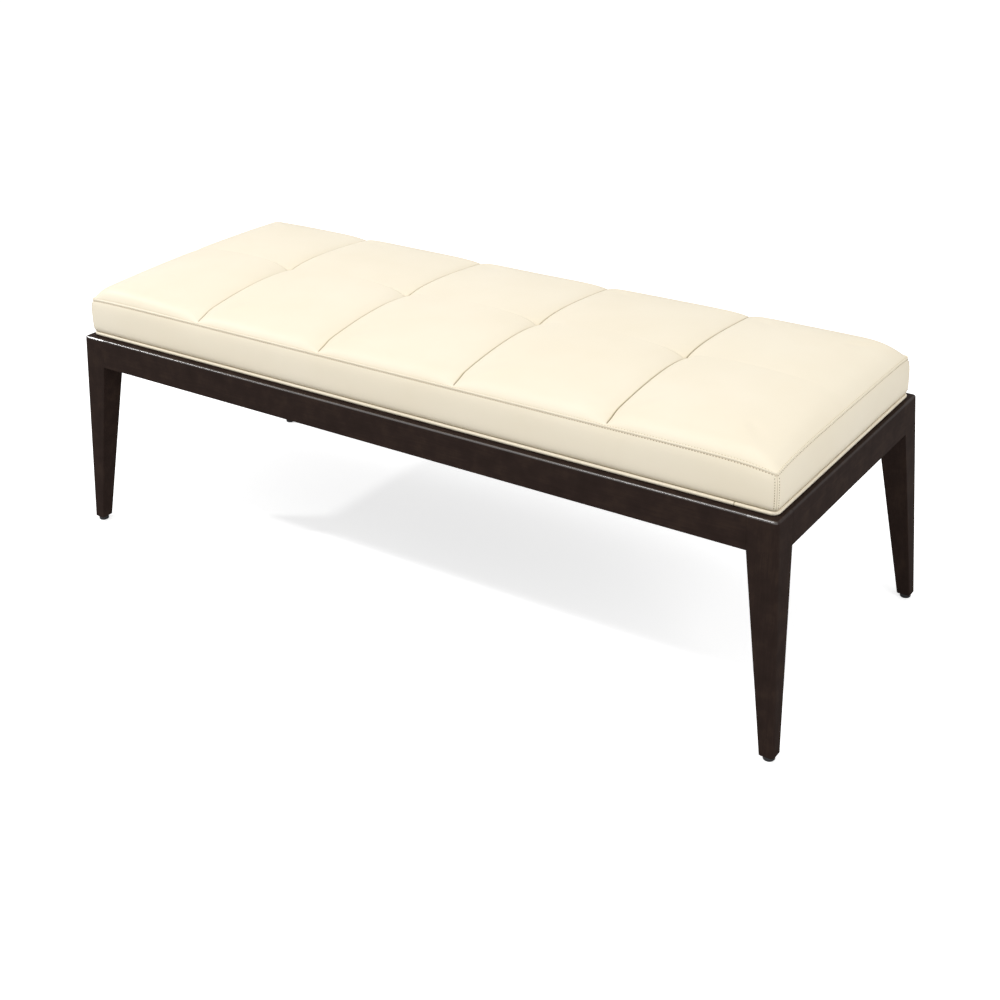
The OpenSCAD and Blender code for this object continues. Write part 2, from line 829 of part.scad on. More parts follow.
// The quilted top: the net over it, a rim down to the top seam and a flat underside
module quilted_top() {
    nx = len(net_xs);
    ny = len(net_ys);
    lip_out = band_draw / 4;
    cap = [for (i = [0:nx - 1], j = [0:ny - 1])
        let (p = corner_in(net_xs[i], net_ys[j]),
            edge = i == 0 || j == 0 || i == nx - 1 || j == ny - 1)
        [p[0], p[1], edge ? seam_z + lip_h / 2 : max(top_z(p[0], p[1]), seam_z + lip_h / 2)]];
    rim = concat(
        [for (i = [0:nx - 1]) i * ny],
        [for (j = [1:ny - 1]) (nx - 1) * ny + j],
        [for (i = [nx - 2:-1:0]) i * ny + ny - 1],
        [for (j = [ny - 2:-1:1]) j]
    );
    n = len(rim);
    rim_points = [for (k = rim) [cap[k][0] * (1 + lip_out / rim_x), cap[k][1] * (1 + lip_out / rim_y), seam_z]];
    foot_points = [for (k = rim) [cap[k][0], cap[k][1], rim_bottom]];
    first = nx * ny;
    points = concat(cap, rim_points, foot_points, [[0, 0, rim_bottom]]);
    top_faces = [for (i = [0:nx - 2], j = [0:ny - 2])
        let (a = i * ny + j, b = a + ny)
        each ((i < nx / 2) == (j < ny / 2)
            ? [[a, a + 1, b + 1], [a, b + 1, b]]
            : [[a, a + 1, b], [a + 1, b + 1, b]])];
    rim_faces = [for (i = [0:n - 1])
        let (a = rim[i], b = rim[(i + 1) % n], c = first + i, d = first + (i + 1) % n)
        each [[a, b, d], [a, d, c]]];
    foot_faces = [for (i = [0:n - 1])
        let (a = first + i, b = first + (i + 1) % n)
        each [[a, b, b + n], [a, b + n, a + n]]];
    under_faces = [for (i = [0:n - 1])
        [first + n + i, first + n + (i + 1) % n, first + 2 * n]];
    color(cream)
        polyhedron(points, concat(top_faces, rim_faces, foot_faces, under_faces));
}

// Section of a boxing band: the distance in from the cushion's side along +X, height along +Y
module band_section() {
    steps = 6;
    top_roll = 4 * lip_h;
    roll = [for (i = [0:steps]) let (a = 90 * i / steps)
        [band_roll * (1 - sin(a)), band_bottom + band_roll_h * (1 - cos(a))]];
    draw = [for (i = [0:steps]) let (a = 90 * i / steps)
        [band_draw * (1 - cos(a)), band_top - top_roll * (1 - sin(a))]];
    polygon(concat(roll, draw, [[band_t, band_top], [band_t, band_bottom]]));
}

// A boxing band along X with its outer side at +Y, round half of the corner at each end
module band(half_run, half_face) {
    run = half_run - cushion_corner_r;
    color(cream) {
        translate([0, half_face, 0])
            rotate([90, 0, 90])
                linear_extrude(2 * run, center = true)
                    mirror([1, 0])
                        band_section();
        for (side = [0, 1])
            mirror([side, 0, 0])
                translate([run, half_face - cushion_corner_r, 0])
                    rotate([0, 0, 45])
                        rotate_extrude(angle = 45, $fn = fine)
                            translate([cushion_corner_r, 0])
                                mirror([1, 0])
                                    band_section();
    }
}

// Section of the welt with its tail, distance in from the cushion's side along +X
module welt_section(tail) {
    translate([welt_in, welt_z])
        circle(d = welt_d, $fn = fine);
    if (tail)
        translate([welt_in, tail_z])
            square([welt_tail_w, tail_t]);
}

module base_welt() {
    run_x = half_cushion_x - cushion_corner_r;
    run_y = half_cushion_y - cushion_corner_r;
    color(cream) {
        for (side = [0, 1])
            mirror([0, side, 0])
                translate([0, half_cushion_y, 0])
                    rotate([90, 0, 90])
                        linear_extrude(2 * run_x, center = true)
                            mirror([1, 0])
                                welt_section(true);
        for (side = [0, 1])
            mirror([side, 0, 0])
                translate([half_cushion_x, 0, 0])
                    rotate([90, 0, 0])
                        linear_extrude(2 * run_y, center = true)
                            mirror([1, 0])
                                welt_section(true);
        at_corners()
            translate([run_x, run_y, 0])
                rotate_extrude(angle = 90, $fn = fine)
                    translate([cushion_corner_r, 0])
                        mirror([1, 0])
                            welt_section(false);
    }
}

module tuft_ties() {
    knot_z = anchor_top - anchor_t - knot_d / 2 - glue_gap;
    color(foam_white)
        for (x = seam_xs)
            translate([x, 0, knot_z]) {
                sphere(d = knot_d, $fn = fine);
                cylinder(d = tie_d, h = band_top - knot_z, $fn = fine);
            }
}

module tuft_anchors() {
    color(glide_black)
        for (x = seam_xs)
            translate([x, 0, anchor_top - anchor_t])
                difference() {
                    cylinder(d = anchor_d, h = anchor_t, $fn = fine);
                    translate([0, 0, -over])
                        cylinder(d = tie_d + 2 * soft_gap, h = anchor_t + 2 * over, $fn = fine);
                }
}

long_rail(-1);  // front_rail
long_rail(1);  // rear_rail
end_rail(-1);  // left_end_rail
end_rail(1);  // right_end_rail
leg(-1, -1);  // front_left_leg
leg(1, -1);  // front_right_leg
leg(-1, 1);  // rear_left_leg
leg(1, 1);  // rear_right_leg
glide(-1, -1);  // front_left_glide
glide(1, -1);  // front_right_glide
glide(-1, 1);  // rear_left_glide
glide(1, 1);  // rear_right_glide
glide_nails();
cross_rail(-1);  // left_cross_rail
cross_rail(1);  // right_cross_rail
cross_rail_dowels();
corner_block(-1, -1);  // front_left_corner_block
corner_block(1, -1);  // front_right_corner_block
corner_block(-1, 1);  // rear_left_corner_block
corner_block(1, 1);  // rear_right_corner_block
block_screws();
hanger_bolts();
hanger_bolt_washers();
hanger_bolt_nuts();
seat_deck();
deck_tee_nuts();
deck_screws();
deck_screw_washers();
dust_cover();
foam_core();
quilted_top();
mirror([0, 1, 0]) band(half_cushion_x, half_cushion_y);  // front_band
band(half_cushion_x, half_cushion_y);  // rear_band
rotate([0, 0, 90]) band(half_cushion_y, half_cushion_x);  // left_band
rotate([0, 0, -90]) band(half_cushion_y, half_cushion_x);  // right_band
base_welt();
tuft_ties();
tuft_anchors();
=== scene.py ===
"""Waiting room bench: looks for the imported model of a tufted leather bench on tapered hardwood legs.

Metres, +Z up, origin on the floor under the middle of the bench, +X along its length. The wooden frame keeps
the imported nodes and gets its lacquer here. The cushion is modelled here: one quilted leather top with five
panels, four boxing bands, a welt round the foot, the foam under them, and the black cloth under the deck.
"""

import logging
import math
from dataclasses import dataclass, field, replace
from enum import Enum
from typing import Any, Callable, Sequence

import bmesh
import bpy
import numpy as np
from mathutils import Matrix, Vector


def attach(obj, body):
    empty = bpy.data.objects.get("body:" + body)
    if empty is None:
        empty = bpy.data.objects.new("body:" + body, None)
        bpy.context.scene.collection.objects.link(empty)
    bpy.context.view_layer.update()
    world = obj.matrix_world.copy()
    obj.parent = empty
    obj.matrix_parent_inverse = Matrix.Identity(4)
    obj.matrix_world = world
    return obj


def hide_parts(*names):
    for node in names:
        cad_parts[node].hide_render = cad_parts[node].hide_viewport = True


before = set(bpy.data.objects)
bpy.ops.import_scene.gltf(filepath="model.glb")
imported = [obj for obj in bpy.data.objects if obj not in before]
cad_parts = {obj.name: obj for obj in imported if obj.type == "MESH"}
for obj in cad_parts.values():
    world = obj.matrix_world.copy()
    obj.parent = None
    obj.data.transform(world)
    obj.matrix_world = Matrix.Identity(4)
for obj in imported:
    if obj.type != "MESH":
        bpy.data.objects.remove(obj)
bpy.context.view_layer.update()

LOG = logging.getLogger("bench")
MM = 0.001
CORNERS = ("front_left", "front_right", "rear_left", "rear_right")
UP = (0, 0, 1)
END_FACE = 0.9

Array = np.ndarray
Pair = tuple[float, float]
Point = tuple[float, float, float]
Faces = list[tuple[int, ...]]
Socket = bpy.types.NodeSocket
Thing = bpy.types.Object


class Slot(Enum):
    """Material slots of the record, given with each new piece."""

    LEATHER = "cream_leather"
    FOAM = "seat_foam"
    CAMBRIC = "black_cambric"
    TWINE = "waxed_twine"
    ZINC = "zinc_steel"


class Grain(Enum):
    """The axis that the wood's fibres follow in a member."""

    ALONG_X = 0
    ALONG_Y = 1
    ALONG_Z = 2


def linear(code: str) -> tuple[float, float, float, float]:
    """Turns an sRGB hex colour to linear.

    Args:
        code: six hex digits, with or without a leading hash.

    Returns:
        Red, green, blue and an alpha of 1.
    """
    digits = code.lstrip("#")
    parts = [int(digits[i:i + 2], 16) / 255 for i in (0, 2, 4)]
    made = [c / 12.92 if c <= 0.04045 else ((c + 0.055) / 1.055) ** 2.4 for c in parts]
    return (made[0], made[1], made[2], 1.0)


def add_node(tree: bpy.types.NodeTree, kind: str, settings: dict[str | int, Any] | None = None,
             links: dict[str | int, Socket] | None = None) -> bpy.types.Node:
    """Adds a node with its settings and links.

    Args:
        tree: the node tree that gets it.
        kind: Blender's name of the node's type, after ShaderNode.
        settings: input sockets by name or number, or the node's own properties, with their values. "stops"
            holds a colour ramp's positions and colours.
        links: the sockets that feed this node's inputs, by the input's name or number.

    Returns:
        The new node.
    """
    node = tree.nodes.new("ShaderNode" + kind)
    for key, value in (settings or {}).items():
        if key == "stops":
            ramp = node.color_ramp.elements
            while len(ramp) < len(value):
                ramp.new(1.0)
            for stop, (position, colour) in zip(ramp, value):
                stop.position = position
                stop.color = colour
        elif isinstance(key, int) or (key in node.inputs and not hasattr(node, key)):
            node.inputs[key].default_value = value
        else:
            setattr(node, key, value)
    for key, socket in (links or {}).items():
        tree.links.new(socket, node.inputs[key])
    return node


@dataclass(frozen=True)
class Graph:
    """A node tree with the steps that the finishes share."""

    tree: bpy.types.NodeTree

    def place(self) -> Socket:
        """Returns the piece's own coordinates."""
        return add_node(self.tree, "TexCoord").outputs["Object"]

    def texture(self, kind: str, settings: dict[str, Any], stretch: Sequence[float] | None = None) -> Socket:
        """Lays a texture over the piece's own coordinates.

        Args:
            kind: the texture, such as Noise.
            settings: its inputs and properties.
            stretch: the coordinates' scale along each axis.

        Returns:
            The texture's value.
        """
        where = self.place()
        if stretch:
            scaled = add_node(self.tree, "Mapping", {"Scale": stretch}, {"Vector": where})
            where = scaled.outputs[0]
        made = add_node(self.tree, "Tex" + kind, settings, {"Vector": where})
        return made.outputs["Distance" if kind == "Voronoi" else "Fac"]

    def upward(self, vector: Socket) -> Socket:
        """Returns a vector's Z."""
        return add_node(self.tree, "SeparateXYZ", links={0: vector}).outputs["Z"]

    def calculate(self, operation: str, *values: Socket | float) -> Socket:
        """Works out one operation on sockets and numbers."""
        numbers = {i: value for i, value in enumerate(values) if isinstance(value, float)}
        sockets = {i: value for i, value in enumerate(values) if i not in numbers}
        return add_node(self.tree, "Math", {"operation": operation, **numbers}, sockets).outputs[0]

    def ramp(self, value: Socket, *stops: tuple[float, str]) -> Socket:
        """Colours a value by stops of a position and an sRGB code."""
        made = [(position, linear(code)) for position, code in stops]
        return add_node(self.tree, "ValToRGB", {"stops": made}, {"Fac": value}).outputs["Color"]

    def span(self, value: Socket, given: Pair, wanted: Pair) -> Socket:
        """Maps one range of a value to another."""
        limits = dict(zip(("From Min", "From Max", "To Min", "To Max"), (*given, *wanted)))
        return add_node(self.tree, "MapRange", limits, {"Value": value}).outputs["Result"]

    def relief(self, height: Socket, strength: float, depth: float) -> Socket:
        """Turns a height to the normal of a fine relief."""
        bump = {"Strength": strength, "Distance": depth}
        return add_node(self.tree, "Bump", bump, {"Height": height}).outputs["Normal"]

    def principled(self, settings: dict[str, float], colour: Socket, relief: Socket | None = None,
                   gloss: Socket | None = None) -> Socket:
        """Adds the shader itself.

        Args:
            settings: its fixed inputs.
            colour: the base colour.
            relief: the normal, where the surface has a relief.
            gloss: the roughness, where it varies.

        Returns:
            The shader's output.
        """
        links = {"Base Color": colour, "Roughness": gloss, "Normal": relief}
        given = {name: socket for name, socket in links.items() if socket is not None}
        return add_node(self.tree, "BsdfPrincipled", settings, given).outputs[0]


@dataclass(frozen=True)
class Finish:
    """A finish that makes one Blender material, and makes it once."""

    name: str

    def material(self) -> bpy.types.Material:
        """Returns the finish's material, and makes it the first time."""
        made = bpy.data.materials.get(self.name)
        if made is None:
            made = bpy.data.materials.new(self.name)
            made.use_nodes = True
            made.node_tree.nodes.clear()
            surface = self.surface(Graph(made.node_tree))
            add_node(made.node_tree, "OutputMaterial", links={"Surface": surface})
        return made

    def surface(self, graph: Graph) -> Socket:
        """Builds the finish's nodes and returns the last shader's output."""
        raise NotImplementedError

    def dress(self, piece: Thing) -> None:
        """Gives the whole piece this finish."""
        piece.data.materials.clear()
        piece.data.materials.append(self.material())
        piece.data.polygons.foreach_set("material_index", [0] * len(piece.data.polygons))
        piece.data.update()


@dataclass(frozen=True)
class EspressoLacquer(Finish):
    """Beech, stained espresso and sprayed with satin lacquer: nearly black, with a brown breath in the
    light, fine fibres along the member and a soft broad gloss."""

    grain: Grain
    coat: float = 0.08
    coat_ior: float = 1.5
    under_gloss: float = 0.0
    coat_rough: float = 0.18
    fibre: float = 2.2 * MM
    fibre_length: float = 60 * MM
    fibre_share: float = 0.55
    mottle: float = 24 * MM

    def surface(self, graph: Graph) -> Socket:
        """Builds stain, fibres and lacquer, and returns the shader's output."""
        scale = [1 / self.fibre] * 3
        scale[self.grain.value] = 1 / self.fibre_length
        fibres = graph.texture("Noise", {"Scale": 1.0, "Detail": 4.0, "Roughness": 0.55}, scale)
        clouds = graph.texture("Noise", {"Scale": 1 / self.mottle, "Detail": 3.0})
        both = graph.calculate("MULTIPLY_ADD", fibres, self.fibre_share, clouds)
        stain = graph.ramp(both, (0.48, "#291f1b"), (0.78, "#2e231f"), (1.0, "#352923"))
        gloss = graph.span(fibres, given=(0.3, 0.7), wanted=(0.42, 0.56))
        relief = graph.relief(fibres, strength=0.12, depth=0.15 * MM)
        lacquer = {"IOR": 1.5, "Specular IOR Level": self.under_gloss, "Coat Weight": self.coat,
                   "Coat Roughness": self.coat_rough, "Coat IOR": self.coat_ior}
        return graph.principled(lacquer, stain, relief, gloss)


@dataclass(frozen=True)
class CreamLeather(Finish):
    """Corrected cowhide with a pigmented semi-matt coat: warm cream and a fine pebble grain that breaks the
    light, with painted shade mixed in as tan where each piece's shade attribute marks seams, grooves and
    feet."""

    pebble: float = 1.5 * MM
    crease: float = 13.5 * MM
    crease_share: float = 0.8
    cloud: float = 140 * MM

    def surface(self, graph: Graph) -> Socket:
        """Builds hide tone, painted shade, pebble grain and coat, and returns the shader's output."""
        clouds = graph.texture("Noise", {"Scale": 1 / self.cloud, "Detail": 3.0})
        tone = graph.ramp(clouds, (0.3, "#f5ead2"), (0.7, "#f8eed8"))
        # Painted shade: the attribute mixes the cream towards tan #857248 in seams, grooves, band feet and
        # under the bead.
        fold = add_node(graph.tree, "Attribute", {"attribute_name": "fold"}).outputs["Fac"]
        hide = add_node(graph.tree, "Mix", {"data_type": "RGBA", 7: linear("#857248")}, {0: fold, 6: tone})
        pebbles = graph.texture("Voronoi", {"feature": "SMOOTH_F1", "Scale": 1 / self.pebble,
                                            "Smoothness": 0.6, "Randomness": 1.0})
        creases = graph.texture("Noise", {"Scale": 1 / self.crease, "Detail": 5.0, "Roughness": 0.6})
        grain = graph.calculate("MULTIPLY_ADD", creases, self.crease_share, pebbles)
        relief = graph.relief(grain, strength=0.14, depth=0.22 * MM)
        coat = {"Roughness": 0.46, "IOR": 1.5, "Specular IOR Level": 0.42}
        return graph.principled(coat, hide.outputs[2], relief)


@dataclass(frozen=True)
class BirchPlywood(Finish):
    """Sanded birch plywood: pale tan faces with quiet long grain, and light and dark plies at the edges."""

    ply: float = 1.36 * MM
    stretch: Point = (9.0, 170.0, 170.0)

    def surface(self, graph: Graph) -> Socket:
        """Builds face grain and edge plies, and returns the shader's output."""
        fibres = graph.texture("Noise", {"Scale": 1.0, "Detail": 5.0, "Distortion": 0.4}, self.stretch)
        face = graph.ramp(fibres, (0.25, "#b98f5e"), (0.5, "#cda878"), (0.8, "#dcbf94"))
        turn = graph.calculate("MULTIPLY", graph.upward(graph.place()), math.pi / self.ply)
        plies = graph.ramp(graph.calculate("SINE", turn), (0.35, "#8e6638"), (0.6, "#d3b184"))
        normal = add_node(graph.tree, "NewGeometry").outputs["Normal"]
        level = graph.calculate("ABSOLUTE", graph.upward(normal))
        flat = graph.calculate("GREATER_THAN", level, 0.5)
        tone = add_node(graph.tree, "Mix", {"data_type": "RGBA"}, {0: flat, 6: plies, 7: face})
        relief = graph.relief(fibres, strength=0.15, depth=0.2 * MM)
        return graph.principled({"Roughness": 0.62, "Specular IOR Level": 0.35}, tone.outputs[2], relief)


@dataclass(frozen=True)
class BlackCambric(Finish):
    """Black spunbond cambric: matt, with a dimpled bond pattern, drawn 2 mm apart so that it shows."""

    pitch: float = 2.0 * MM
    fibre_share: float = 0.6

    def surface(self, graph: Graph) -> Socket:
        """Builds the bond pattern and fibres, and returns the shader's output."""
        bonds = graph.texture("Voronoi", {"Scale": 1 / self.pitch, "Randomness": 0.15})
        fibres = graph.texture("Noise", {"Scale": 900.0, "Detail": 3.0})
        mixed = graph.calculate("MULTIPLY_ADD", fibres, self.fibre_share, bonds)
        tone = graph.ramp(mixed, (0.3, "#131314"), (0.9, "#2a2a2c"))
        relief = graph.relief(mixed, strength=0.4, depth=0.2 * MM)
        return graph.principled({"Roughness": 0.85, "Specular IOR Level": 0.2}, tone, relief)


@dataclass(frozen=True)
class Patterned(Finish):
    """A finish whose tone, relief and gloss follow one texture. Relief is a strength and a depth, gloss the
    smoothest and the roughest that it gets, and fixed the shader's other inputs."""

    texture: str
    pattern: dict[str, Any]
    tones: tuple[tuple[float, str], ...]
    fixed: dict[str, float]
    relief: Pair | None = None
    gloss: Pair | None = None
    stretch: Point | None = None

    def surface(self, graph: Graph) -> Socket:
        """Builds tone, relief and gloss, and returns the shader's output."""
        value = graph.texture(self.texture, self.pattern, self.stretch)
        tone = graph.ramp(value, *self.tones)
        relief = graph.relief(value, *self.relief) if self.relief else None
        gloss = graph.span(value, (0.0, 1.0), self.gloss) if self.gloss else None
        return graph.principled(self.fixed, tone, relief, gloss)


@dataclass(frozen=True)
class WhitePaper(Finish):
    """Matt white paper under the bench: pure white to the camera but for the shadow, plain paper to other
    light, and clear from below."""

    paper: float = 0.86
    glow: float = 0.618

    def surface(self, graph: Graph) -> Socket:
        """Builds paper, glow and clear underside, and returns the shader's output."""
        ray = add_node(graph.tree, "LightPath").outputs["Is Camera Ray"]
        behind = add_node(graph.tree, "NewGeometry").outputs["Backfacing"]
        paper, thin = (add_node(graph.tree, "BsdfDiffuse", {"Color": (tone, tone, tone, 1)})
                       for tone in (self.paper, 1.0))
        glow = add_node(graph.tree, "Emission", {"Strength": self.glow})
        seen = add_node(graph.tree, "AddShader", {}, {0: thin.outputs[0], 1: glow.outputs[0]})
        shown = add_node(graph.tree, "MixShader", {}, {0: ray, 1: paper.outputs[0], 2: seen.outputs[0]})
        clear = add_node(graph.tree, "BsdfTransparent")
        below = graph.calculate("MULTIPLY", ray, behind)
        return add_node(graph.tree, "MixShader", {}, {0: below, 1: shown.outputs[0],
                                                      2: clear.outputs[0]}).outputs[0]


def lacquer(kind: str, grain: Grain, **coat: float) -> EspressoLacquer:
    """Makes the lacquer of a kind for one run of the grain."""
    return EspressoLacquer(f"stained_beech_{kind}_{grain.name[-1].lower()}", grain, **coat)


# Eased edges are rubbed by hand: a full, more polished coat that draws a line of light, duller at the ends.
POLISHED = {"coat": 1.0, "coat_ior": 1.75, "under_gloss": 0.1, "coat_rough": 0.24}
LACQUER = {grain: lacquer("satin_lacquer", grain) for grain in Grain}
RUBBED = {
    Grain.ALONG_X: lacquer("rubbed_edge", Grain.ALONG_X, **POLISHED),
    Grain.ALONG_Y: lacquer("rubbed_edge", Grain.ALONG_Y, coat=0.4, coat_rough=0.2),
    Grain.ALONG_Z: lacquer("rubbed_edge", Grain.ALONG_Z, **POLISHED),
}
LEATHER = CreamLeather("pigmented_cowhide_cream")
PLYWOOD = BirchPlywood("sanded_birch_plywood")
CAMBRIC = BlackCambric("black_spunbond_cambric")
PAPER = WhitePaper("matt_white_paper")
# Bonded polyester thread, a little glossy, with the twist of its plies; the tan copy is painted seam shade.
THREAD = Patterned("bonded_polyester_thread_cream", "Noise", {"Scale": 1 / (0.9 * MM), "Detail": 2.0},
                   ((0.3, "#c4b38a"), (0.7, "#d8c9a4")), {"Roughness": 0.5})
SHADED_THREAD = replace(THREAD, name="bonded_polyester_thread_tan", tones=((0.3, "#846e44"), (0.7, "#9c8558")))
# Plain fluted beech dowel: pinkish tan with short dark rays.
BEECH = Patterned("plain_beech", "Noise", {"Scale": 1.0, "Detail": 3.0},
                  ((0.35, "#a87a50"), (0.6, "#cfa67a")), {"Roughness": 0.6}, stretch=(60.0, 700.0, 700.0))
# Cut polyether foam: cream white and quite matt, with open cells about 1 mm wide.
FOAM = Patterned("cut_polyether_foam", "Voronoi", {"Scale": 1 / (1.3 * MM)},
                 ((0.1, "#e9dfc0"), (0.6, "#f4edd6")), {"Roughness": 0.95, "Specular IOR Level": 0.1},
                 relief=(0.5, 0.5 * MM))
# Moulded plastic: an even semi-matt black skin with the faint orange peel of its mould.
NYLON = Patterned("moulded_black_nylon", "Noise", {"Scale": 700.0, "Detail": 2.0},
                  ((0.35, "#111112"), (0.75, "#1b1b1c")), {"Roughness": 0.42, "IOR": 1.53},
                  relief=(0.1, 0.1 * MM))
ANCHOR = replace(NYLON, name="moulded_black_polypropylene", tones=((0.35, "#19191a"), (0.75, "#232324")),
                 fixed={"Roughness": 0.5, "IOR": 1.53})
# Bright zinc-plated steel: cool silver with cloudy patches in its gloss.
ZINC = Patterned("bright_zinc_plated_steel", "Noise", {"Scale": 320.0, "Detail": 4.0},
                 ((0.3, "#a9adb0"), (0.7, "#c9ccca")), {"Metallic": 1.0}, gloss=(0.24, 0.44))
# Waxed polyester tufting twine: off-white, with a dull shine.
TWINE = Patterned("waxed_polyester_twine", "Wave",
                  {"Scale": 260.0, "Distortion": 1.5, "bands_direction": "DIAGONAL"},
                  ((0.2, "#b9ac8c"), (0.7, "#e5dcc4")), {"Roughness": 0.4})


def place_piece(piece: Thing, finish: Finish, slot: Slot, *stands_for: str) -> Thing:
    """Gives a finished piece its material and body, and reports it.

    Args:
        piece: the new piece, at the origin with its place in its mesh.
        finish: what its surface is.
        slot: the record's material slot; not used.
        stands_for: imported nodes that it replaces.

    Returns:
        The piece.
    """
    finish.dress(piece)
    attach(piece, "root")
    if stands_for:
        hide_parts(*stands_for)
    LOG.info("%s: %d faces", piece.name, len(piece.data.polygons))
    return piece


def mesh_piece(name: str, points: Array, faces: Faces, angle: float) -> Thing:
    """Makes an object from points and faces, shaded smooth below an angle.

    Args:
        name: the piece's name.
        points: an array of points, three numbers each.
        faces: the faces as point numbers, seen from outside anticlockwise.
        angle: edges sharper than this stay sharp.

    Returns:
        The object, linked to the scene.
    """
    mesh = bpy.data.meshes.new(name)
    mesh.from_pydata([tuple(p) for p in points], [], [tuple(f) for f in faces])
    mesh.validate()
    piece = bpy.data.objects.new(name, mesh)
    bpy.context.scene.collection.objects.link(piece)
    bpy.ops.object.select_all(action="DESELECT")
    piece.select_set(True)
    bpy.context.view_layer.objects.active = piece
    bpy.ops.object.shade_smooth_by_angle(angle=angle)
    return piece


def primitive(add: Callable[..., Any], name: str, scale: Point = (1, 1, 1), level: float = 0.0,
              **options: Any) -> Thing:
    """Adds a scaled primitive over the middle of the bench and leaves it selected.

    Args:
        add: Blender's operator for it.
        name: the object's name.
        scale: its scale, which is applied.
        level: the height of its middle.
        options: the operator's own options.

    Returns:
        The object.
    """
    bpy.ops.object.select_all(action="DESELECT")
    add(location=(0, 0, level), **options)
    piece = bpy.context.object
    piece.name = name
    bpy.ops.transform.resize(value=scale)
    bpy.ops.object.transform_apply(location=True, rotation=True, scale=True)
    return piece


def thicken(piece: Thing, thickness: float) -> None:
    """Gives a flat selected piece its thickness, downwards."""
    wall = piece.modifiers.new("thickness", "SOLIDIFY")
    wall.thickness = thickness
    wall.offset = -1
    bpy.ops.object.modifier_apply(modifier=wall.name)


def bent_bar(bar: Thing, out: float, up: float, taper: float) -> tuple[Array, Faces]:
    """Lengthens both ends of a selected bar, bent from its line, and takes its shape.

    Args:
        bar: the bar along X, which is removed.
        out: how much longer each end gets.
        up: how far the ends rise.
        taper: the ends' size against the bar's.

    Returns:
        Its points and faces.
    """
    bpy.ops.object.mode_set(mode="EDIT")
    for end in (-1, 1):
        shape = bmesh.from_edit_mesh(bar.data)
        for face in shape.faces:
            face.select_set(face.normal.x * end > END_FACE)
        shape.select_flush_mode()
        bmesh.update_edit_mesh(bar.data)
        bpy.ops.mesh.extrude_region_move(TRANSFORM_OT_translate={"value": (end * out, 0, up)})
        bpy.ops.transform.resize(value=(taper, taper, taper))
    bpy.ops.object.mode_set(mode="OBJECT")
    points = np.array([vertex.co[:] for vertex in bar.data.vertices])
    faces = [tuple(face.vertices) for face in bar.data.polygons]
    bpy.data.objects.remove(bar)
    return points, faces


def copies(name: str, points: Array, faces: Faces, places: Array, angle: float) -> Thing:
    """Copies a small shape to many places, as one piece.

    Args:
        name: the piece's name.
        points: the shape's points, with X the way that it runs and Z outward.
        faces: its faces.
        places: rows of place, outward direction and travel direction.
        angle: edges sharper than this stay sharp.

    Returns:
        The piece.
    """
    up = places[:, 3:6] / np.linalg.norm(places[:, 3:6], axis=1)[:, None]
    ahead = places[:, 6:9] - up * np.sum(places[:, 6:9] * up, axis=1)[:, None]
    ahead /= np.linalg.norm(ahead, axis=1)[:, None]
    turns = np.stack([ahead, np.cross(up, ahead), up], axis=1)
    made = places[:, None, :3] + points @ turns
    every = [tuple(i * len(points) + v for v in face) for i in range(len(places)) for face in faces]
    return mesh_piece(name, made.reshape(-1, 3), every, angle)


def set_painted_shade(piece: Thing, values: Array) -> None:
    """Stores each point's painted shade, from 0 to 1, which mixes the leather's colour towards tan."""
    layer = piece.data.attributes.new("fold", "FLOAT", "POINT")
    layer.data.foreach_set("value", np.clip(values, 0, 1).astype(np.float32))


def read_vectors(items: bpy.types.bpy_prop_collection, name: str) -> Array:
    """Reads one vector of each of a mesh's items, such as a point's place, one row each."""
    values = np.zeros(3 * len(items), np.float32)
    items.foreach_get(name, values)
    return values.reshape(-1, 3)


def bell(distance: Array | float, half: float) -> Array:
    """A bell curve: 1 at no distance, and e times less at half its width."""
    return np.exp(-(distance / half) ** 2)


def smooth_samples(values: Array, places: Array) -> Array:
    """Reads rows of values at fractional row numbers, on a smooth curve through them."""
    last = len(values) - 1
    low = np.clip(np.floor(places).astype(int), 0, last - 1)
    part = (places - low)[:, None]
    before, here, ahead, beyond = (values[np.clip(low + k, 0, last)] for k in (-1, 0, 1, 2))
    bend = 2 * before - 5 * here + 4 * ahead - beyond + part * (3 * (here - ahead) + beyond - before)
    return here + 0.5 * part * (ahead - before + part * bend)


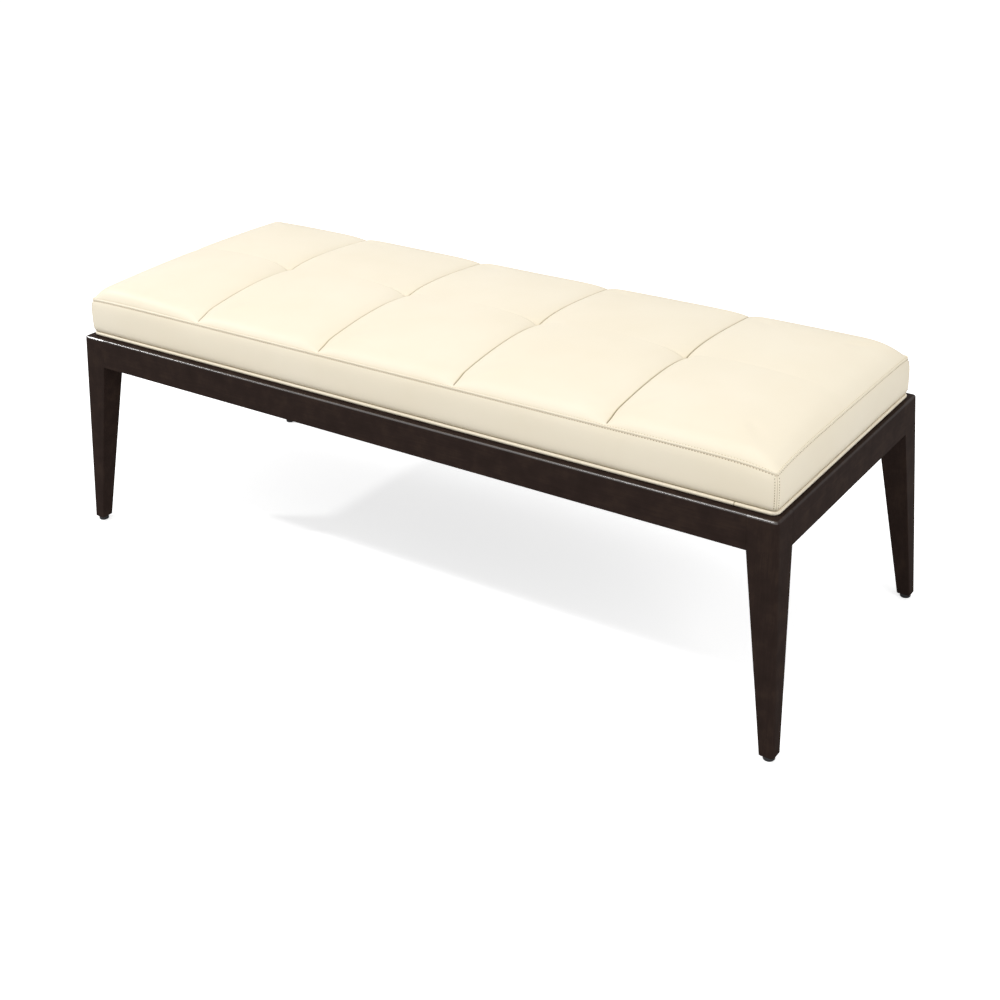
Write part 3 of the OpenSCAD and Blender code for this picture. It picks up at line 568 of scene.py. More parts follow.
@dataclass(frozen=True)
class Outline:
    """The cushion's outline from above: a rectangle with round corners, each halved by a corner seam. Side 0
    is the right one, and the others follow anticlockwise."""

    half_x: float = 671.5 * MM
    half_y: float = 241 * MM
    step: float = 5 * MM
    corner_drop: float = 3 * MM
    front_right_drop: float = 9.5 * MM
    drop_reach: float = 42 * MM
    arc_marks: tuple[float, ...] = (0.0, 0.035, 0.08, 0.14, 0.22, 0.34, 0.5, 0.75, 1.0)

    def axes(self, side: int) -> tuple[Array, Array, float, float]:
        """A side's outward and travel directions, its distance from the middle and half its length."""
        turn = side * math.pi / 2
        outward = np.array([math.cos(turn), math.sin(turn)])
        travel = np.array([-outward[1], outward[0]])
        if side % 2:
            return outward, travel, self.half_y, self.half_x
        return outward, travel, self.half_x, self.half_y

    def side(self, side: int, inset: float, corner: float, extra: Sequence[float] = ()) -> Array:
        """Points of one side, from corner seam to corner seam.

        Args:
            side: the side's number.
            inset: how far inside the outline the points lie.
            corner: the corner's radius there.
            extra: places along the side that get a point too.

        Returns:
            Rows of x, y and the outward direction's x and y.
        """
        outward, travel, reach, half = self.axes(side)
        straight = half - inset - corner
        run = np.linspace(-1, 1, round(2 * half / self.step) + 1)[1:-1] * straight
        run = np.sort(np.concatenate([run, np.array(extra)]))
        arc = math.pi / 4 * (1 - np.array(self.arc_marks))
        ends = np.full(len(arc), straight)
        along = np.concatenate([-ends, run, ends])[:, None]
        turn = np.concatenate([-arc, np.zeros(len(run)), arc[::-1]])[:, None]
        facing = np.cos(turn) * outward + np.sin(turn) * travel
        place = (reach - inset - corner) * outward + along * travel + corner * facing
        return np.concatenate([place, facing], axis=1)

    def loop(self, inset: float, corner: float, extra: Sequence[float] = ()) -> Array:
        """The whole outline anticlockwise; the extra places are on side 3, the front."""
        sides = [self.side(side, inset, corner, extra if side == 3 else ())[:-1] for side in range(4)]
        return np.concatenate(sides)

    def drop(self, path: Array) -> Array:
        """How much lower the upper seam is drawn at rows of x and y, which is near the corners alone."""
        x, y = path[..., 0], path[..., 1]
        away = self.half_x - np.abs(x) + self.half_y - np.abs(y)
        most = np.where((x > 0) & (y < 0), self.front_right_drop, self.corner_drop)
        return most * np.exp(-away / self.drop_reach)

    def seam_distance(self, path: Array) -> Array:
        """The distance along one side's points to the nearer corner seam."""
        steps = np.linalg.norm(np.diff(path[:, :2], axis=0), axis=1)
        along = np.concatenate([[0.0], np.cumsum(steps)])
        return np.minimum(along, along[-1] - along)


def skin(rows: Sequence[Array], closed_path: bool) -> tuple[Array, Faces]:
    """Skins a closed section that is carried along a path.

    Args:
        rows: one array of points for each point of the section, all equally long.
        closed_path: whether the path's end meets its start; otherwise the ends get caps.

    Returns:
        The points and the faces.
    """
    points = np.stack(rows, axis=1)
    n, m = points.shape[:2]
    faces = []
    for i in range(n if closed_path else n - 1):
        a, b = i * m, ((i + 1) % n) * m
        for j in range(m):
            k = (j + 1) % m
            faces.append((a + j, b + j, b + k, a + k))
    if not closed_path:
        faces.append(tuple(range(m)))
        faces.append(tuple((n - 1) * m + j for j in range(m - 1, -1, -1)))
    return points.reshape(-1, 3), faces


@dataclass
class QuiltedTop:
    """The leather top: five crowned panels between four cross seams, a crease along the middle, a blind tuft
    where each seam crosses it, and a rolled bead between the two stitch rows of its border. Pairs of sizes
    are for the left and the right, of the bench or of a seam."""

    outline: Outline = Outline()
    seam_z: float = 439 * MM
    underside_z: float = 437.5 * MM
    rim_in: float = 4 * MM
    crown: float = 24 * MM
    crown_side: float = 30 * MM
    crown_ends: Pair = (55 * MM, 80 * MM)
    roll_power: float = 3
    roll_root: float = 1.2
    plump: float = 7 * MM
    front_ease: float = 8 * MM
    front_from: float = 500 * MM
    front_reach: float = 50 * MM
    dome: float = 17.5 * MM
    dome_powers: Pair = (8, 4)
    panels: int = 5
    pinch: float = 8 * MM
    hollow: float = 20 * MM
    hollow_sides: Pair = (18 * MM, 11 * MM)
    # Painted shade: the leather darkens towards tan on the left side of each cross seam, as far as
    # shade_reach.
    shade: float = 0.06
    shade_reach: float = 11 * MM
    end_pinch: float = 3.5 * MM
    end_pinch_in: float = 15 * MM
    end_pinch_width: float = 11 * MM
    rear_ease: float = 0.45
    rear_reach: float = 45 * MM
    crease: float = 1.5 * MM
    crease_hollow: float = 12 * MM
    tuft: float = 9 * MM
    tuft_hollow: float = 44 * MM
    pucker: float = 1.6 * MM
    pucker_half: float = 2.6 * MM
    pucker_sides: Pair = (34 * MM, 14 * MM)
    # Painted shade in the puckers beside the tufts.
    pucker_shade: float = 0.12
    pucker_shade_reach: float = 40 * MM
    cut: float = 1.5 * MM
    cut_half: float = 1.1 * MM
    cut_ease: float = 4 * MM
    cut_least: float = 0.25
    # Darkening in each cross seam's cut: the seam line itself, with painted shade.
    cut_shade_half: float = 0.9 * MM
    border: float = 8.5 * MM
    corner: float = 10 * MM
    bead_in: float = 2 * MM
    # Painted shade in the groove under the bead, deeper where the groove is deeper.
    bead_shade: float = 0.06
    bead_foot_drop: float = 0.6
    stitch_in: float = 3.2 * MM
    stitch_sunk: float = 0.3 * MM
    stitch_lean: Pair = (0.72, 0.69)
    coarse_x: float = 5.5 * MM
    coarse_y: float = 5 * MM
    cells: tuple[int, int] = (32, 60)
    steps: int = 20
    middle_hold: float = 0.5
    cap: float = 2.5 * MM
    lift: float = 0.8 * MM
    smooth_to: float = math.radians(70)

    def seams(self) -> Array:
        """The places of the cross seams along the bench."""
        length = 2 * self.outline.half_x / self.panels
        return np.array([-self.outline.half_x + length * i for i in range(1, self.panels)])

    def seam_offset(self, x: Array) -> Array:
        """How far right of the nearest cross seam a place lies."""
        gaps = x[..., None] - self.seams()
        nearest = np.argmin(np.abs(gaps), axis=-1)
        return np.take_along_axis(gaps, nearest[..., None], axis=-1)[..., 0]

    def roll(self, distance: Array, reach: float | Array) -> Array:
        """The share of the crown that the leather has reached at a distance from the rim."""
        left = np.clip(1 - distance / reach, 0, 1)
        return (1 - left ** self.roll_power) ** (1 / self.roll_root)

    def height(self, x: Array, y: Array) -> Array:
        """The leather's height over the bench, without its narrow cuts and puckers."""
        rim_x = self.outline.half_x - self.rim_in
        rim_y = self.outline.half_y - self.rim_in
        ends = self.roll(rim_x - np.abs(x), np.where(x < 0, *self.crown_ends))
        rise = ends * self.roll(rim_y - np.abs(y), self.crown_side)
        sharpness = np.where(x < 0, *self.dome_powers)
        dome = np.clip(1 - (y / rim_y) ** 2, 0, 1) * np.clip(1 - np.abs(x / rim_x) ** sharpness, 0, 1)
        offset = self.seam_offset(x)
        s = np.abs(offset)
        hollow = np.where(offset < 0, *self.hollow_sides)
        rear = self.rear_ease * np.exp(-(rim_y - y) / self.rear_reach)
        low = self.pinch * (1 - rear) * np.exp(-s / hollow)
        low = low + self.crease * np.exp(-np.abs(y) / self.crease_hollow)
        at_rim = bell(rim_y + y - self.end_pinch_in, self.end_pinch_width)
        low = low + self.end_pinch * at_rim * np.exp(-s / self.end_pinch_in)
        tufted = self.tuft * np.exp(-np.hypot(s, y) / self.tuft_hollow)
        fuller = self.plump * np.clip(-x / rim_x, 0, 1) * np.clip((1 + y / rim_y) / 2, 0, 1)
        front = np.clip(-y / rim_y, 0, 1) ** 2 / (1 + np.exp(-(x + self.front_from) / self.front_reach))
        base = self.seam_z - self.outline.drop(np.stack([x, y], axis=-1))
        high = self.crown + fuller - self.front_ease * front - low
        return base + high * rise + self.dome * dome - tufted

    def lines(self, half: float, centres: Sequence[float], coarse: float) -> Array:
        """Grid lines that crowd at seams and edges.

        Args:
            half: half the length to cover.
            centres: places that the lines crowd at.
            coarse: the widest spacing elsewhere.

        Returns:
            The lines' places in order.
        """
        close = np.array([0, 0.45, 0.9, 1.4, 2.1, 3.1, 4.6, 6.6, 9.5, 13.5, 19]) * MM
        edge = np.array([0, 0.5, 1.0, 1.5, 2.6, 4.2, 6.2, 8.6, 11.5, 15, 19]) * MM
        wanted = {round(c + sign * d, 7) for c in centres for d in close for sign in (-1, 1)}
        wanted |= {round(sign * (half - e), 7) for e in edge for sign in (-1, 1)}
        marks = sorted(w for w in wanted if abs(w) <= half + 1e-9)
        made = [marks[0]]
        for a, b in zip(marks, marks[1:]):
            parts = max(1, math.ceil((b - a) / coarse - 1e-6))
            made += [a + (b - a) * i / parts for i in range(1, parts + 1)]
        return np.array(made)

    def round_corners(self, x: Array, y: Array) -> tuple[Array, Array]:
        """Draws the grid's corners in to the outline's round corners."""
        r = self.corner - self.border
        cx, cy = self.outline.half_x - self.corner, self.outline.half_y - self.corner
        u = np.clip((np.abs(x) - cx) / r, 0, 1)
        v = np.clip((np.abs(y) - cy) / r, 0, 1)
        corner = (u > 0) & (v > 0)
        new_x = np.where(corner, cx + r * u * np.sqrt(1 - v * v / 2), np.abs(x))
        new_y = np.where(corner, cy + r * v * np.sqrt(1 - u * u / 2), np.abs(y))
        return np.sign(x) * new_x, np.sign(y) * new_y

    def simulate(self, gx: Array, gy: Array) -> Array:
        """Draws the leather tight over its stuffing by a cloth simulation.

        Args:
            gx: the coarse grid's lines along the bench.
            gy: its lines across.

        Returns:
            How far each point of the grid moves up.
        """
        across, down = self.cells
        before = self.height(*np.meshgrid(gx, gy, indexing="ij"))
        cloth = primitive(bpy.ops.mesh.primitive_grid_add, "stretched_leather",
                          x_subdivisions=len(gx) - 1, y_subdivisions=down, size=2)
        flat = read_vectors(cloth.data.vertices, "co").astype(float)
        column = np.rint((flat[:, 0] + 1) / 2 * (len(gx) - 1)).astype(int)
        row = np.rint((flat[:, 1] + 1) / 2 * down).astype(int)
        start = np.stack([gx[column], gy[row], before[column, row]], axis=1)
        cloth.data.vertices.foreach_set("co", start.ravel())
        held = (column % across == 0) | (row == 0) | (row == down)
        middle = (row == down // 2) & ~held
        pins = cloth.vertex_groups.new(name="sewn")
        pins.add(np.nonzero(held)[0].tolist(), 1.0, "REPLACE")
        pins.add(np.nonzero(middle)[0].tolist(), self.middle_hold, "REPLACE")
        leather = cloth.modifiers.new("leather", "CLOTH")
        hide = {"quality": 5, "mass": 0.35, "tension_stiffness": 40, "compression_stiffness": 20,
                "shear_stiffness": 15, "bending_stiffness": 4, "tension_damping": 15,
                "compression_damping": 15, "shear_damping": 10, "bending_damping": 1, "air_damping": 2,
                "vertex_group_mass": "sewn", "pin_stiffness": 1, "use_pressure": True,
                "uniform_pressure_force": 14, "shrink_min": 0.004}
        for name, value in hide.items():
            setattr(leather.settings, name, value)
        leather.settings.effector_weights.gravity = 0
        leather.collision_settings.use_collision = False
        scene = bpy.context.scene
        for step in range(1, self.steps + 1):
            scene.frame_set(step)
        drawn = cloth.evaluated_get(bpy.context.evaluated_depsgraph_get())
        moved = np.zeros(before.shape)
        moved[column, row] = read_vectors(drawn.data.vertices, "co")[:, 2] - start[:, 2]
        scene.frame_set(1)
        bpy.data.objects.remove(cloth)
        return moved

    def tension(self, xs: Array, ys: Array) -> Array:
        """Carries the simulation's result to the fine grid, with nothing at the seams and the rim.

        Args:
            xs: the fine grid's lines along the bench.
            ys: its lines across.

        Returns:
            How far each point of the fine grid moves up.
        """
        half_x = self.outline.half_x - self.border
        half_y = self.outline.half_y - self.border
        knots = [-half_x, *self.seams(), half_x]
        across, down = self.cells
        spans = [np.linspace(a, b, across + 1)[:-1] for a, b in zip(knots, knots[1:])]
        gx = np.concatenate([*spans, [half_x]])
        gy = np.linspace(-half_y, half_y, down + 1)
        moved = self.cap * np.tanh(self.simulate(gx, gy) / self.cap)
        at_x = np.interp(xs, gx, np.arange(len(gx)))
        at_y = np.interp(ys, gy, np.arange(len(gy)))
        fine = smooth_samples(smooth_samples(moved, at_x).T, at_y).T
        away = np.minimum(np.abs(self.seam_offset(xs)), half_x - np.abs(xs))[:, None]
        inward = (half_y - np.abs(ys))[None, :]
        LOG.info("leather drawn by %.1f to %.1f mm", fine.min() / MM, fine.max() / MM)
        return (fine + self.lift) * (1 - bell(away, self.hollow)) * (1 - bell(inward, self.hollow))

    def bead(self) -> list[tuple[float, float, float, float]]:
        """The rings past the grid down to the underside: inset, share of the crown kept, rise over it, and
        share of the corners' drop kept."""
        over = [(5.4, 0.0), (4.7, 0.0), (4.15, 0.0), (3.75, -0.05), (3.45, -0.13), (3.2, -0.16),
                (2.95, -0.05), (2.65, 0.25), (2.3, 0.6)]
        under = [(1.95, 1.6), (1.65, 0.95), (1.5, 0.15), (1.55, -0.6), (1.85, -1.2), (2.4, -1.5),
                 (3.2, -1.5)]
        foot = [(7.5, -1.5)]
        rings = ((over, 1.0, 1.0), (under, 0.0, 1.0), (foot, 0.0, self.bead_foot_drop))
        return [(self.bead_in + inset * MM, share, rise * MM, dropped)
                for ring, share, dropped in rings for inset, rise in ring]

    def build(self) -> Thing:
        """Builds the top with its bead and flat underside.

        Returns:
            The piece, riding on the frame.
        """
        half_x = self.outline.half_x - self.border
        half_y = self.outline.half_y - self.border
        xs = self.lines(half_x, list(self.seams()), self.coarse_x)
        ys = self.lines(half_y, [0.0], self.coarse_y)
        gx, gy = np.meshgrid(xs, ys, indexing="ij")
        x, y = self.round_corners(gx, gy)
        offset = self.seam_offset(x)
        s = np.abs(offset)
        near = np.clip((half_y - np.abs(gy)) / self.cut_ease, self.cut_least, 1)
        fade = np.where(offset < 0, *self.pucker_sides)
        pucker = bell(y, self.pucker_half) * np.exp(-s / fade)
        z = self.height(x, y) + self.tension(xs, ys) - self.pucker * pucker
        z = z - self.cut * bell(s, self.cut_half) * near
        grid = np.stack([x, y, z], axis=2).reshape(-1, 3)
        number = np.arange(len(grid)).reshape(x.shape)
        square = (number[:-1, :-1], number[1:, :-1], number[1:, 1:], number[:-1, 1:])
        faces = np.stack(square, axis=2).reshape(-1, 4).tolist()
        last = np.concatenate([number[:, 0], number[-1, 1:], number[-2::-1, -1], number[0, -2:0:-1]])
        edge_points = grid[last]
        ahead = np.roll(edge_points, -1, axis=0) - np.roll(edge_points, 1, axis=0)
        out = np.stack([ahead[:, 1], -ahead[:, 0]], axis=1)
        out /= np.linalg.norm(out, axis=1)[:, None]
        count, total = len(last), len(grid)
        # Painted shade: the seam cuts, the left side of each cross seam and the puckers are darkened towards
        # tan.
        shaded = self.shade * (offset < 0) * np.exp(-s / self.shade_reach)
        pucker_painted_shade = self.pucker_shade * pucker * (s < self.pucker_shade_reach)
        painted_shades = [(bell(s, self.cut_shade_half) + shaded + pucker_painted_shade).ravel()]
        points = [grid]
        for inset, share, rise, dropped in self.bead():
            place = edge_points[:, :2] + out * (self.border - inset)
            seam = self.seam_z - dropped * self.outline.drop(place)
            level = share * self.height(place[:, 0], place[:, 1]) + (1 - share) * seam + rise
            points.append(np.column_stack([place, level]))
            # Painted shade in the groove under the bead.
            painted_shades.append(np.full(count, max(0.0, -self.bead_shade * rise / MM)))
            here = np.arange(total, total + count)
            faces += [(last[k], here[k], here[(k + 1) % count], last[(k + 1) % count]) for k in range(count)]
            last, total = here, total + count
        points.append(np.array([[0.0, 0.0, self.underside_z]]))
        painted_shades.append(np.zeros(1))
        faces += [(last[k], total, last[(k + 1) % count]) for k in range(count)]
        piece = mesh_piece("quilted_leather_top", np.concatenate(points), faces, self.smooth_to)
        set_painted_shade(piece, np.concatenate(painted_shades))
        place_piece(piece, LEATHER, Slot.LEATHER, "quilted_top")
        return piece

    def stitch_path(self) -> Array:
        """Where the upper stitch row lies: places and outward directions."""
        inset = self.bead_in + self.stitch_in
        path = self.outline.loop(inset, self.corner - inset)
        level = self.height(path[:, 0], path[:, 1]) - self.stitch_sunk
        out, up = self.stitch_lean
        return np.column_stack([path[:, :2], level, path[:, 2:] * out, np.full(len(path), up)])


@dataclass
class BoxingBands:
    """The four leather bands round the cushion's sides: drawn in to the bead above, rolled under at the
    foot, and sewn to each other at the corners."""

    outline: Outline = Outline()
    bottom: float = 376.6 * MM
    top: float = 437.2 * MM
    thick: float = 6 * MM
    roll: float = 4 * MM
    roll_height: float = 11.5 * MM
    draw: float = 4.5 * MM
    draw_reach: float = 8 * MM
    draw_height: float = 30 * MM
    draw_crowding: float = 1.6
    corner: float = 7 * MM
    corner_shares: Pair = (0.3, 0.7)
    inner_corner: float = 3 * MM
    cut: float = 1.0 * MM
    cut_half: float = 0.9 * MM
    slack: float = 0.3 * MM
    slack_waves: Pair = (61 * MM, 37 * MM)
    slack_ease: float = 40 * MM
    # Painted shade: the band darkens towards its foot above the welt, and in the corner seams.
    foot_shade: float = 0.5
    foot_shade_reach: float = 3.2 * MM
    seam_shade: float = 0.35
    seam_shade_half: float = 0.6 * MM
    stitch_low: float = 7 * MM
    stitch_high: float = 3 * MM
    stitch_proud: float = 0.05 * MM
    smooth_to: float = math.radians(50)

    def inset(self, level: float) -> float:
        """How far inside the outline the band's outer face lies at a height."""
        if level < self.bottom + self.roll_height:
            part = (self.bottom + self.roll_height - level) / self.roll_height
            return self.roll * (1 - math.sqrt(max(0.0, 1 - part ** 2)))
        return self.draw * math.exp(-(self.top - level) / self.draw_reach)

    def radius(self, level: float) -> float:
        """The corner's radius at a height: sharp at the bead and rounder at the foot."""
        low, high = self.corner_shares
        return self.corner - self.inset(level) * (low if self.share(level) < 0.5 else high)

    def share(self, level: float) -> float:
        """How far up the band a height is, from 0 to 1."""
        return (level - self.bottom) / (self.top - self.bottom)

    def levels(self) -> list[float]:
        """The heights of the section's outer points, from the foot up."""
        steps, straight = 9, 5
        made = [self.bottom + self.roll_height * (1 - math.cos(math.pi / 2 * i / steps))
                for i in range(steps + 1)]
        low, high = made[-1], self.top - self.draw_height
        made += [low + (high - low) * i / straight for i in range(1, straight)]
        return made + [self.top - self.draw_height * (1 - i / steps) ** self.draw_crowding
                       for i in range(steps + 1)]

    def hang(self, place: Array, level: float) -> Array:
        """Gives places of one level their heights, which follow the upper seam down at the corners."""
        return np.column_stack([place, level - self.share(level) * self.outline.drop(place)])

    def build(self) -> None:
        """Builds the four bands."""
        long, short = self.slack_waves
        for side, node in enumerate(("right_band", "rear_band", "left_band", "front_band")):
            rows, painted_shades = [], []
            for level in self.levels():
                path = self.outline.side(side, self.inset(level), self.radius(level))
                seam = self.outline.seam_distance(path)
                wave = np.sin(seam / long + side) + np.sin(seam / short + 2 * side + 1)
                bulge = math.sin(math.pi * self.share(level)) * np.clip(seam / self.slack_ease, 0, 1)
                out = self.slack * wave * bulge - self.cut * bell(seam, self.cut_half)
                rows.append(self.hang(path[:, :2] + path[:, 2:] * out[:, None], level))
                # Painted shade at the foot and along the corner seams.
                dark = self.foot_shade * math.exp(-(level - self.bottom) / self.foot_shade_reach)
                painted_shades.append(dark + self.seam_shade * bell(seam, self.seam_shade_half))
            for level in (self.top, self.bottom):
                path = self.outline.side(side, self.thick, self.inner_corner)
                rows.append(self.hang(path[:, :2], level))
                painted_shades.append(np.zeros(len(path)))
            points, faces = skin(rows, closed_path=False)
            piece = mesh_piece(node + "_leather", points, faces, self.smooth_to)
            set_painted_shade(piece, np.stack(painted_shades, axis=1).ravel())
            place_piece(piece, LEATHER, Slot.LEATHER, node)

    def corner_rows(self, away: float, pitch: float) -> Array:
        """Where the stitches beside the corner seams lie.

        Args:
            away: their distance from the seam.
            pitch: from one stitch to the next.

        Returns:
            The places, outward directions and travel directions of all their stitches.
        """
        made = []
        levels = np.arange(self.bottom + self.stitch_low, self.top - self.stitch_high, pitch)
        for side in range(4):
            outward, travel, reach, half = self.outline.axes(side)
            for sign in (-1, 1):
                for level in levels:
                    r, inset = self.radius(level), self.inset(level)
                    angle = sign * (math.pi / 4 - away / r)
                    facing = outward * math.cos(angle) + travel * math.sin(angle)
                    centre = outward * (reach - inset - r) + travel * sign * (half - inset - r)
                    place = self.hang((centre + facing * (r + self.stitch_proud))[None, :], level)[0]
                    made.append([*place, *facing, 0.0, *UP])
        return np.array(made)


@dataclass
class Stitching:
    """Bonded thread in stitches that sink at their ends: two rows along the bead, two at each corner."""

    top: QuiltedTop = field(default_factory=QuiltedTop)
    bands: BoxingBands = field(default_factory=BoxingBands)
    length: float = 2.9 * MM
    thick: float = 0.85 * MM
    sunk: float = 0.35 * MM
    straight: float = 0.6
    taper: float = 0.45
    pitch: float = 4.6 * MM
    lower_down: float = 1.0 * MM
    lower_lean: Pair = (0.86, 0.5)
    corner_away: float = 3.4 * MM
    corner_pitch: float = 4.4 * MM
    smooth_to: float = math.radians(60)

    def row(self, name: str, places: Array, thread: Finish) -> Thing:
        """Sews a row of stitches.

        Args:
            name: the piece's name.
            places: rows of place, outward direction and travel direction.
            thread: the finish of the thread.

        Returns:
            The row as one piece.
        """
        bar = primitive(bpy.ops.mesh.primitive_cylinder_add, "stitch", vertices=6, radius=self.thick / 2,
                        depth=self.length * self.straight, rotation=(0, math.pi / 2, 0))
        stitch = bent_bar(bar, self.length * (1 - self.straight) / 2, -self.sunk, self.taper)
        return place_piece(copies(name, *stitch, places, self.smooth_to), thread, Slot.TWINE)

    def along(self, path: Array) -> Array:
        """Even places along a closed path of places and outward directions, with the way that it runs."""
        closed = np.vstack([path, path[:1]])
        length = np.concatenate([[0], np.cumsum(np.linalg.norm(np.diff(closed[:, :3], axis=0), axis=1))])
        count = round(length[-1] / self.pitch)
        at = (np.arange(count) + 0.5) * length[-1] / count
        places = np.column_stack([np.interp(at, length, closed[:, k]) for k in range(6)])
        ahead = np.roll(places[:, :3], -1, axis=0) - np.roll(places[:, :3], 1, axis=0)
        return np.column_stack([places, ahead])

    def build(self) -> None:
        """Builds the rows of the bead and of the corners."""
        self.row("bead_stitches_upper", self.along(self.top.stitch_path()), THREAD)
        below = self.bands.top - self.lower_down
        path = self.top.outline.loop(self.bands.inset(below), self.bands.radius(below))
        level = below - self.top.outline.drop(path)
        out, up = self.lower_lean
        lower = np.column_stack([path[:, :2], level, path[:, 2:] * out, np.full(len(path), up)])
        # The lower row and the corner rows take the thread with painted shade.
        self.row("bead_stitches_lower", self.along(lower), SHADED_THREAD)
        corners = self.bands.corner_rows(self.corner_away, self.corner_pitch)
        self.row("corner_seam_stitches", corners, SHADED_THREAD)


@dataclass
class BaseWelt:
    """The leather-covered cord round the cushion's foot, with its tail under the deck and a sewn join."""

    outline: Outline = Outline()
    corner: float = 12 * MM
    least_corner: float = 2 * MM
    centre_in: float = 2.5 * MM
    centre_z: float = 373.3 * MM
    radius: float = 3 * MM
    arc_from: float = -75
    arc_over: float = 285
    arc_steps: int = 18
    tail_root: float = 6.55 * MM
    tail_in: float = 18.5 * MM
    tail_low: float = 370.4 * MM
    tail_high: float = 371.2 * MM
    # Painted shade on the welt's tail, under the deck.
    tail_shade: float = 0.5
    tail_shade_in: float = 3.75 * MM
    join_at: float = 608 * MM
    join_half: float = 0.6 * MM
    join_depth: float = 0.5 * MM
    # Painted shade in the join's cut.
    join_shade: float = 0.9
    smooth_to: float = math.radians(40)

    def section(self) -> list[tuple[float, float, float]]:
        """The cord and its tail from the tail's lower edge: inset, height and share of the join's cut."""
        made = [(self.tail_in, self.tail_low, 0.0), (self.centre_in + self.radius, self.tail_low, 0.0)]
        for i in range(self.arc_steps + 1):
            angle = math.radians(self.arc_from + self.arc_over * i / self.arc_steps)
            across, up = self.radius * math.cos(angle), self.radius * math.sin(angle)
            made.append((self.centre_in - across, self.centre_z + up, 1.0))
        made.append((self.tail_root, self.tail_high, 0.0))
        made.append((self.tail_in, self.tail_high, 0.0))
        return made

    def build(self) -> Thing:
        """Builds the welt as one closed loop and returns it."""
        extra = [self.join_at + k * self.join_half for k in range(-3, 4)]
        rows, painted_shades = [], []
        for inset, level, share in self.section():
            path = self.outline.loop(inset, max(self.least_corner, self.corner - inset), extra)
            at_join = (path[:, 1] < 0) * bell(path[:, 0] - self.join_at, self.join_half)
            cut = share * self.join_depth * at_join
            out = (self.centre_in - inset) / self.radius
            place = path[:, :2] - path[:, 2:] * (cut * out)[:, None]
            rows.append(np.column_stack([place, level - cut * (level - self.centre_z) / self.radius]))
            # Painted shade on the tail under the deck and in the join's cut.
            inner = self.tail_shade if inset > self.tail_shade_in else 0.0
            painted_shades.append(share * (self.join_shade * at_join + inner))
        points, faces = skin(rows, closed_path=True)
        piece = mesh_piece("base_welt_leather", points, faces, self.smooth_to)
        set_painted_shade(piece, np.stack(painted_shades, axis=1).ravel())
        place_piece(piece, LEATHER, Slot.LEATHER, "base_welt")
        return piece


@dataclass
class CushionCore:
    """The foam block inside the leather."""

    half_x: float = 665.2 * MM
    half_y: float = 234.7 * MM
    corner: float = 2.7 * MM
    low: float = 386.8 * MM
    high: float = 433.2 * MM
    smooth_to: float = math.radians(50)

    def build(self) -> Thing:
        """Builds the foam as a cut block with soft edges and returns it."""
        block = primitive(bpy.ops.mesh.primitive_cube_add, "foam_block",
                          (2 * self.half_x, 2 * self.half_y, self.high - self.low),
                          (self.low + self.high) / 2, size=1)
        bevel = block.modifiers.new("soft_edges", "BEVEL")
        bevel.width = self.corner
        bevel.segments = 3
        bpy.ops.object.modifier_apply(modifier=bevel.name)
        bpy.ops.object.shade_smooth_by_angle(angle=self.smooth_to)
        return place_piece(block, FOAM, Slot.FOAM, "foam_core")


@dataclass
class DustCover:
    """The black cloth under the deck, hemmed and stapled along its edges."""

    half_x: float = 652.5 * MM
    half_y: float = 222 * MM
    low: float = 370.4 * MM
    high: float = 371.2 * MM
    hem_in: float = 2 * MM
    hem: float = 14 * MM
    hem_thick: float = 0.35 * MM
    cells: tuple[int, int] = (65, 22)
    staple_in: float = 8 * MM
    staple_pitch: float = 38 * MM
    staple_crown: float = 10 * MM
    staple_wire: float = 0.6 * MM
    staple_width: float = 0.96 * MM
    smooth_to: float = math.radians(40)

    def cloth(self) -> Thing:
        """Builds the cloth."""
        along, across = self.cells
        cloth = primitive(bpy.ops.mesh.primitive_grid_add, "dust_cover_cloth", (self.half_x, self.half_y, 1),
                          self.high, x_subdivisions=along, y_subdivisions=across, size=2)
        thicken(cloth, self.high - self.low)
        return place_piece(cloth, CAMBRIC, Slot.CAMBRIC, "dust_cover")

    def hem_strip(self) -> Thing:
        """Builds the folded hem, a thin frame under the cloth's edge."""
        strip = primitive(bpy.ops.mesh.primitive_plane_add, "dust_cover_hem",
                          (self.half_x - self.hem_in, self.half_y - self.hem_in, 1), self.low, size=2)
        bpy.ops.object.mode_set(mode="EDIT")
        bpy.ops.mesh.select_all(action="SELECT")
        bpy.ops.mesh.inset(thickness=self.hem, depth=0)
        bpy.ops.mesh.delete(type="FACE")
        bpy.ops.object.mode_set(mode="OBJECT")
        thicken(strip, self.hem_thick)
        return place_piece(strip, CAMBRIC, Slot.CAMBRIC)

    def staples(self) -> Thing:
        """Models a staple's crown with its ends bent up, and copies it along the hem's four sides."""
        sizes = (self.staple_crown - 2 * self.staple_wire, self.staple_width, self.staple_wire)
        bar = primitive(bpy.ops.mesh.primitive_cube_add, "staple", sizes, size=1)
        staple = bent_bar(bar, self.staple_wire, self.staple_wire, 1)
        places = []
        level = self.low - self.hem_thick - self.staple_wire / 2
        for half, reach, turned in ((self.half_x, self.half_y, False), (self.half_y, self.half_x, True)):
            straight = half - 3 * self.staple_in
            run = np.linspace(-1, 1, round(2 * straight / self.staple_pitch) + 1) * straight
            for across in (self.staple_in - reach, reach - self.staple_in):
                for along in run:
                    place = (across, along, level) if turned else (along, across, level)
                    places.append((*place, *UP, *((0, -1, 0) if turned else (1, 0, 0))))
        piece = copies("dust_cover_staples", *staple, np.array(places), self.smooth_to)
        return place_piece(piece, ZINC, Slot.ZINC)

    def build(self) -> None:
        """Builds the cloth with its hem and staples."""
        cloth, hem, staples = self.cloth(), self.hem_strip(), self.staples()


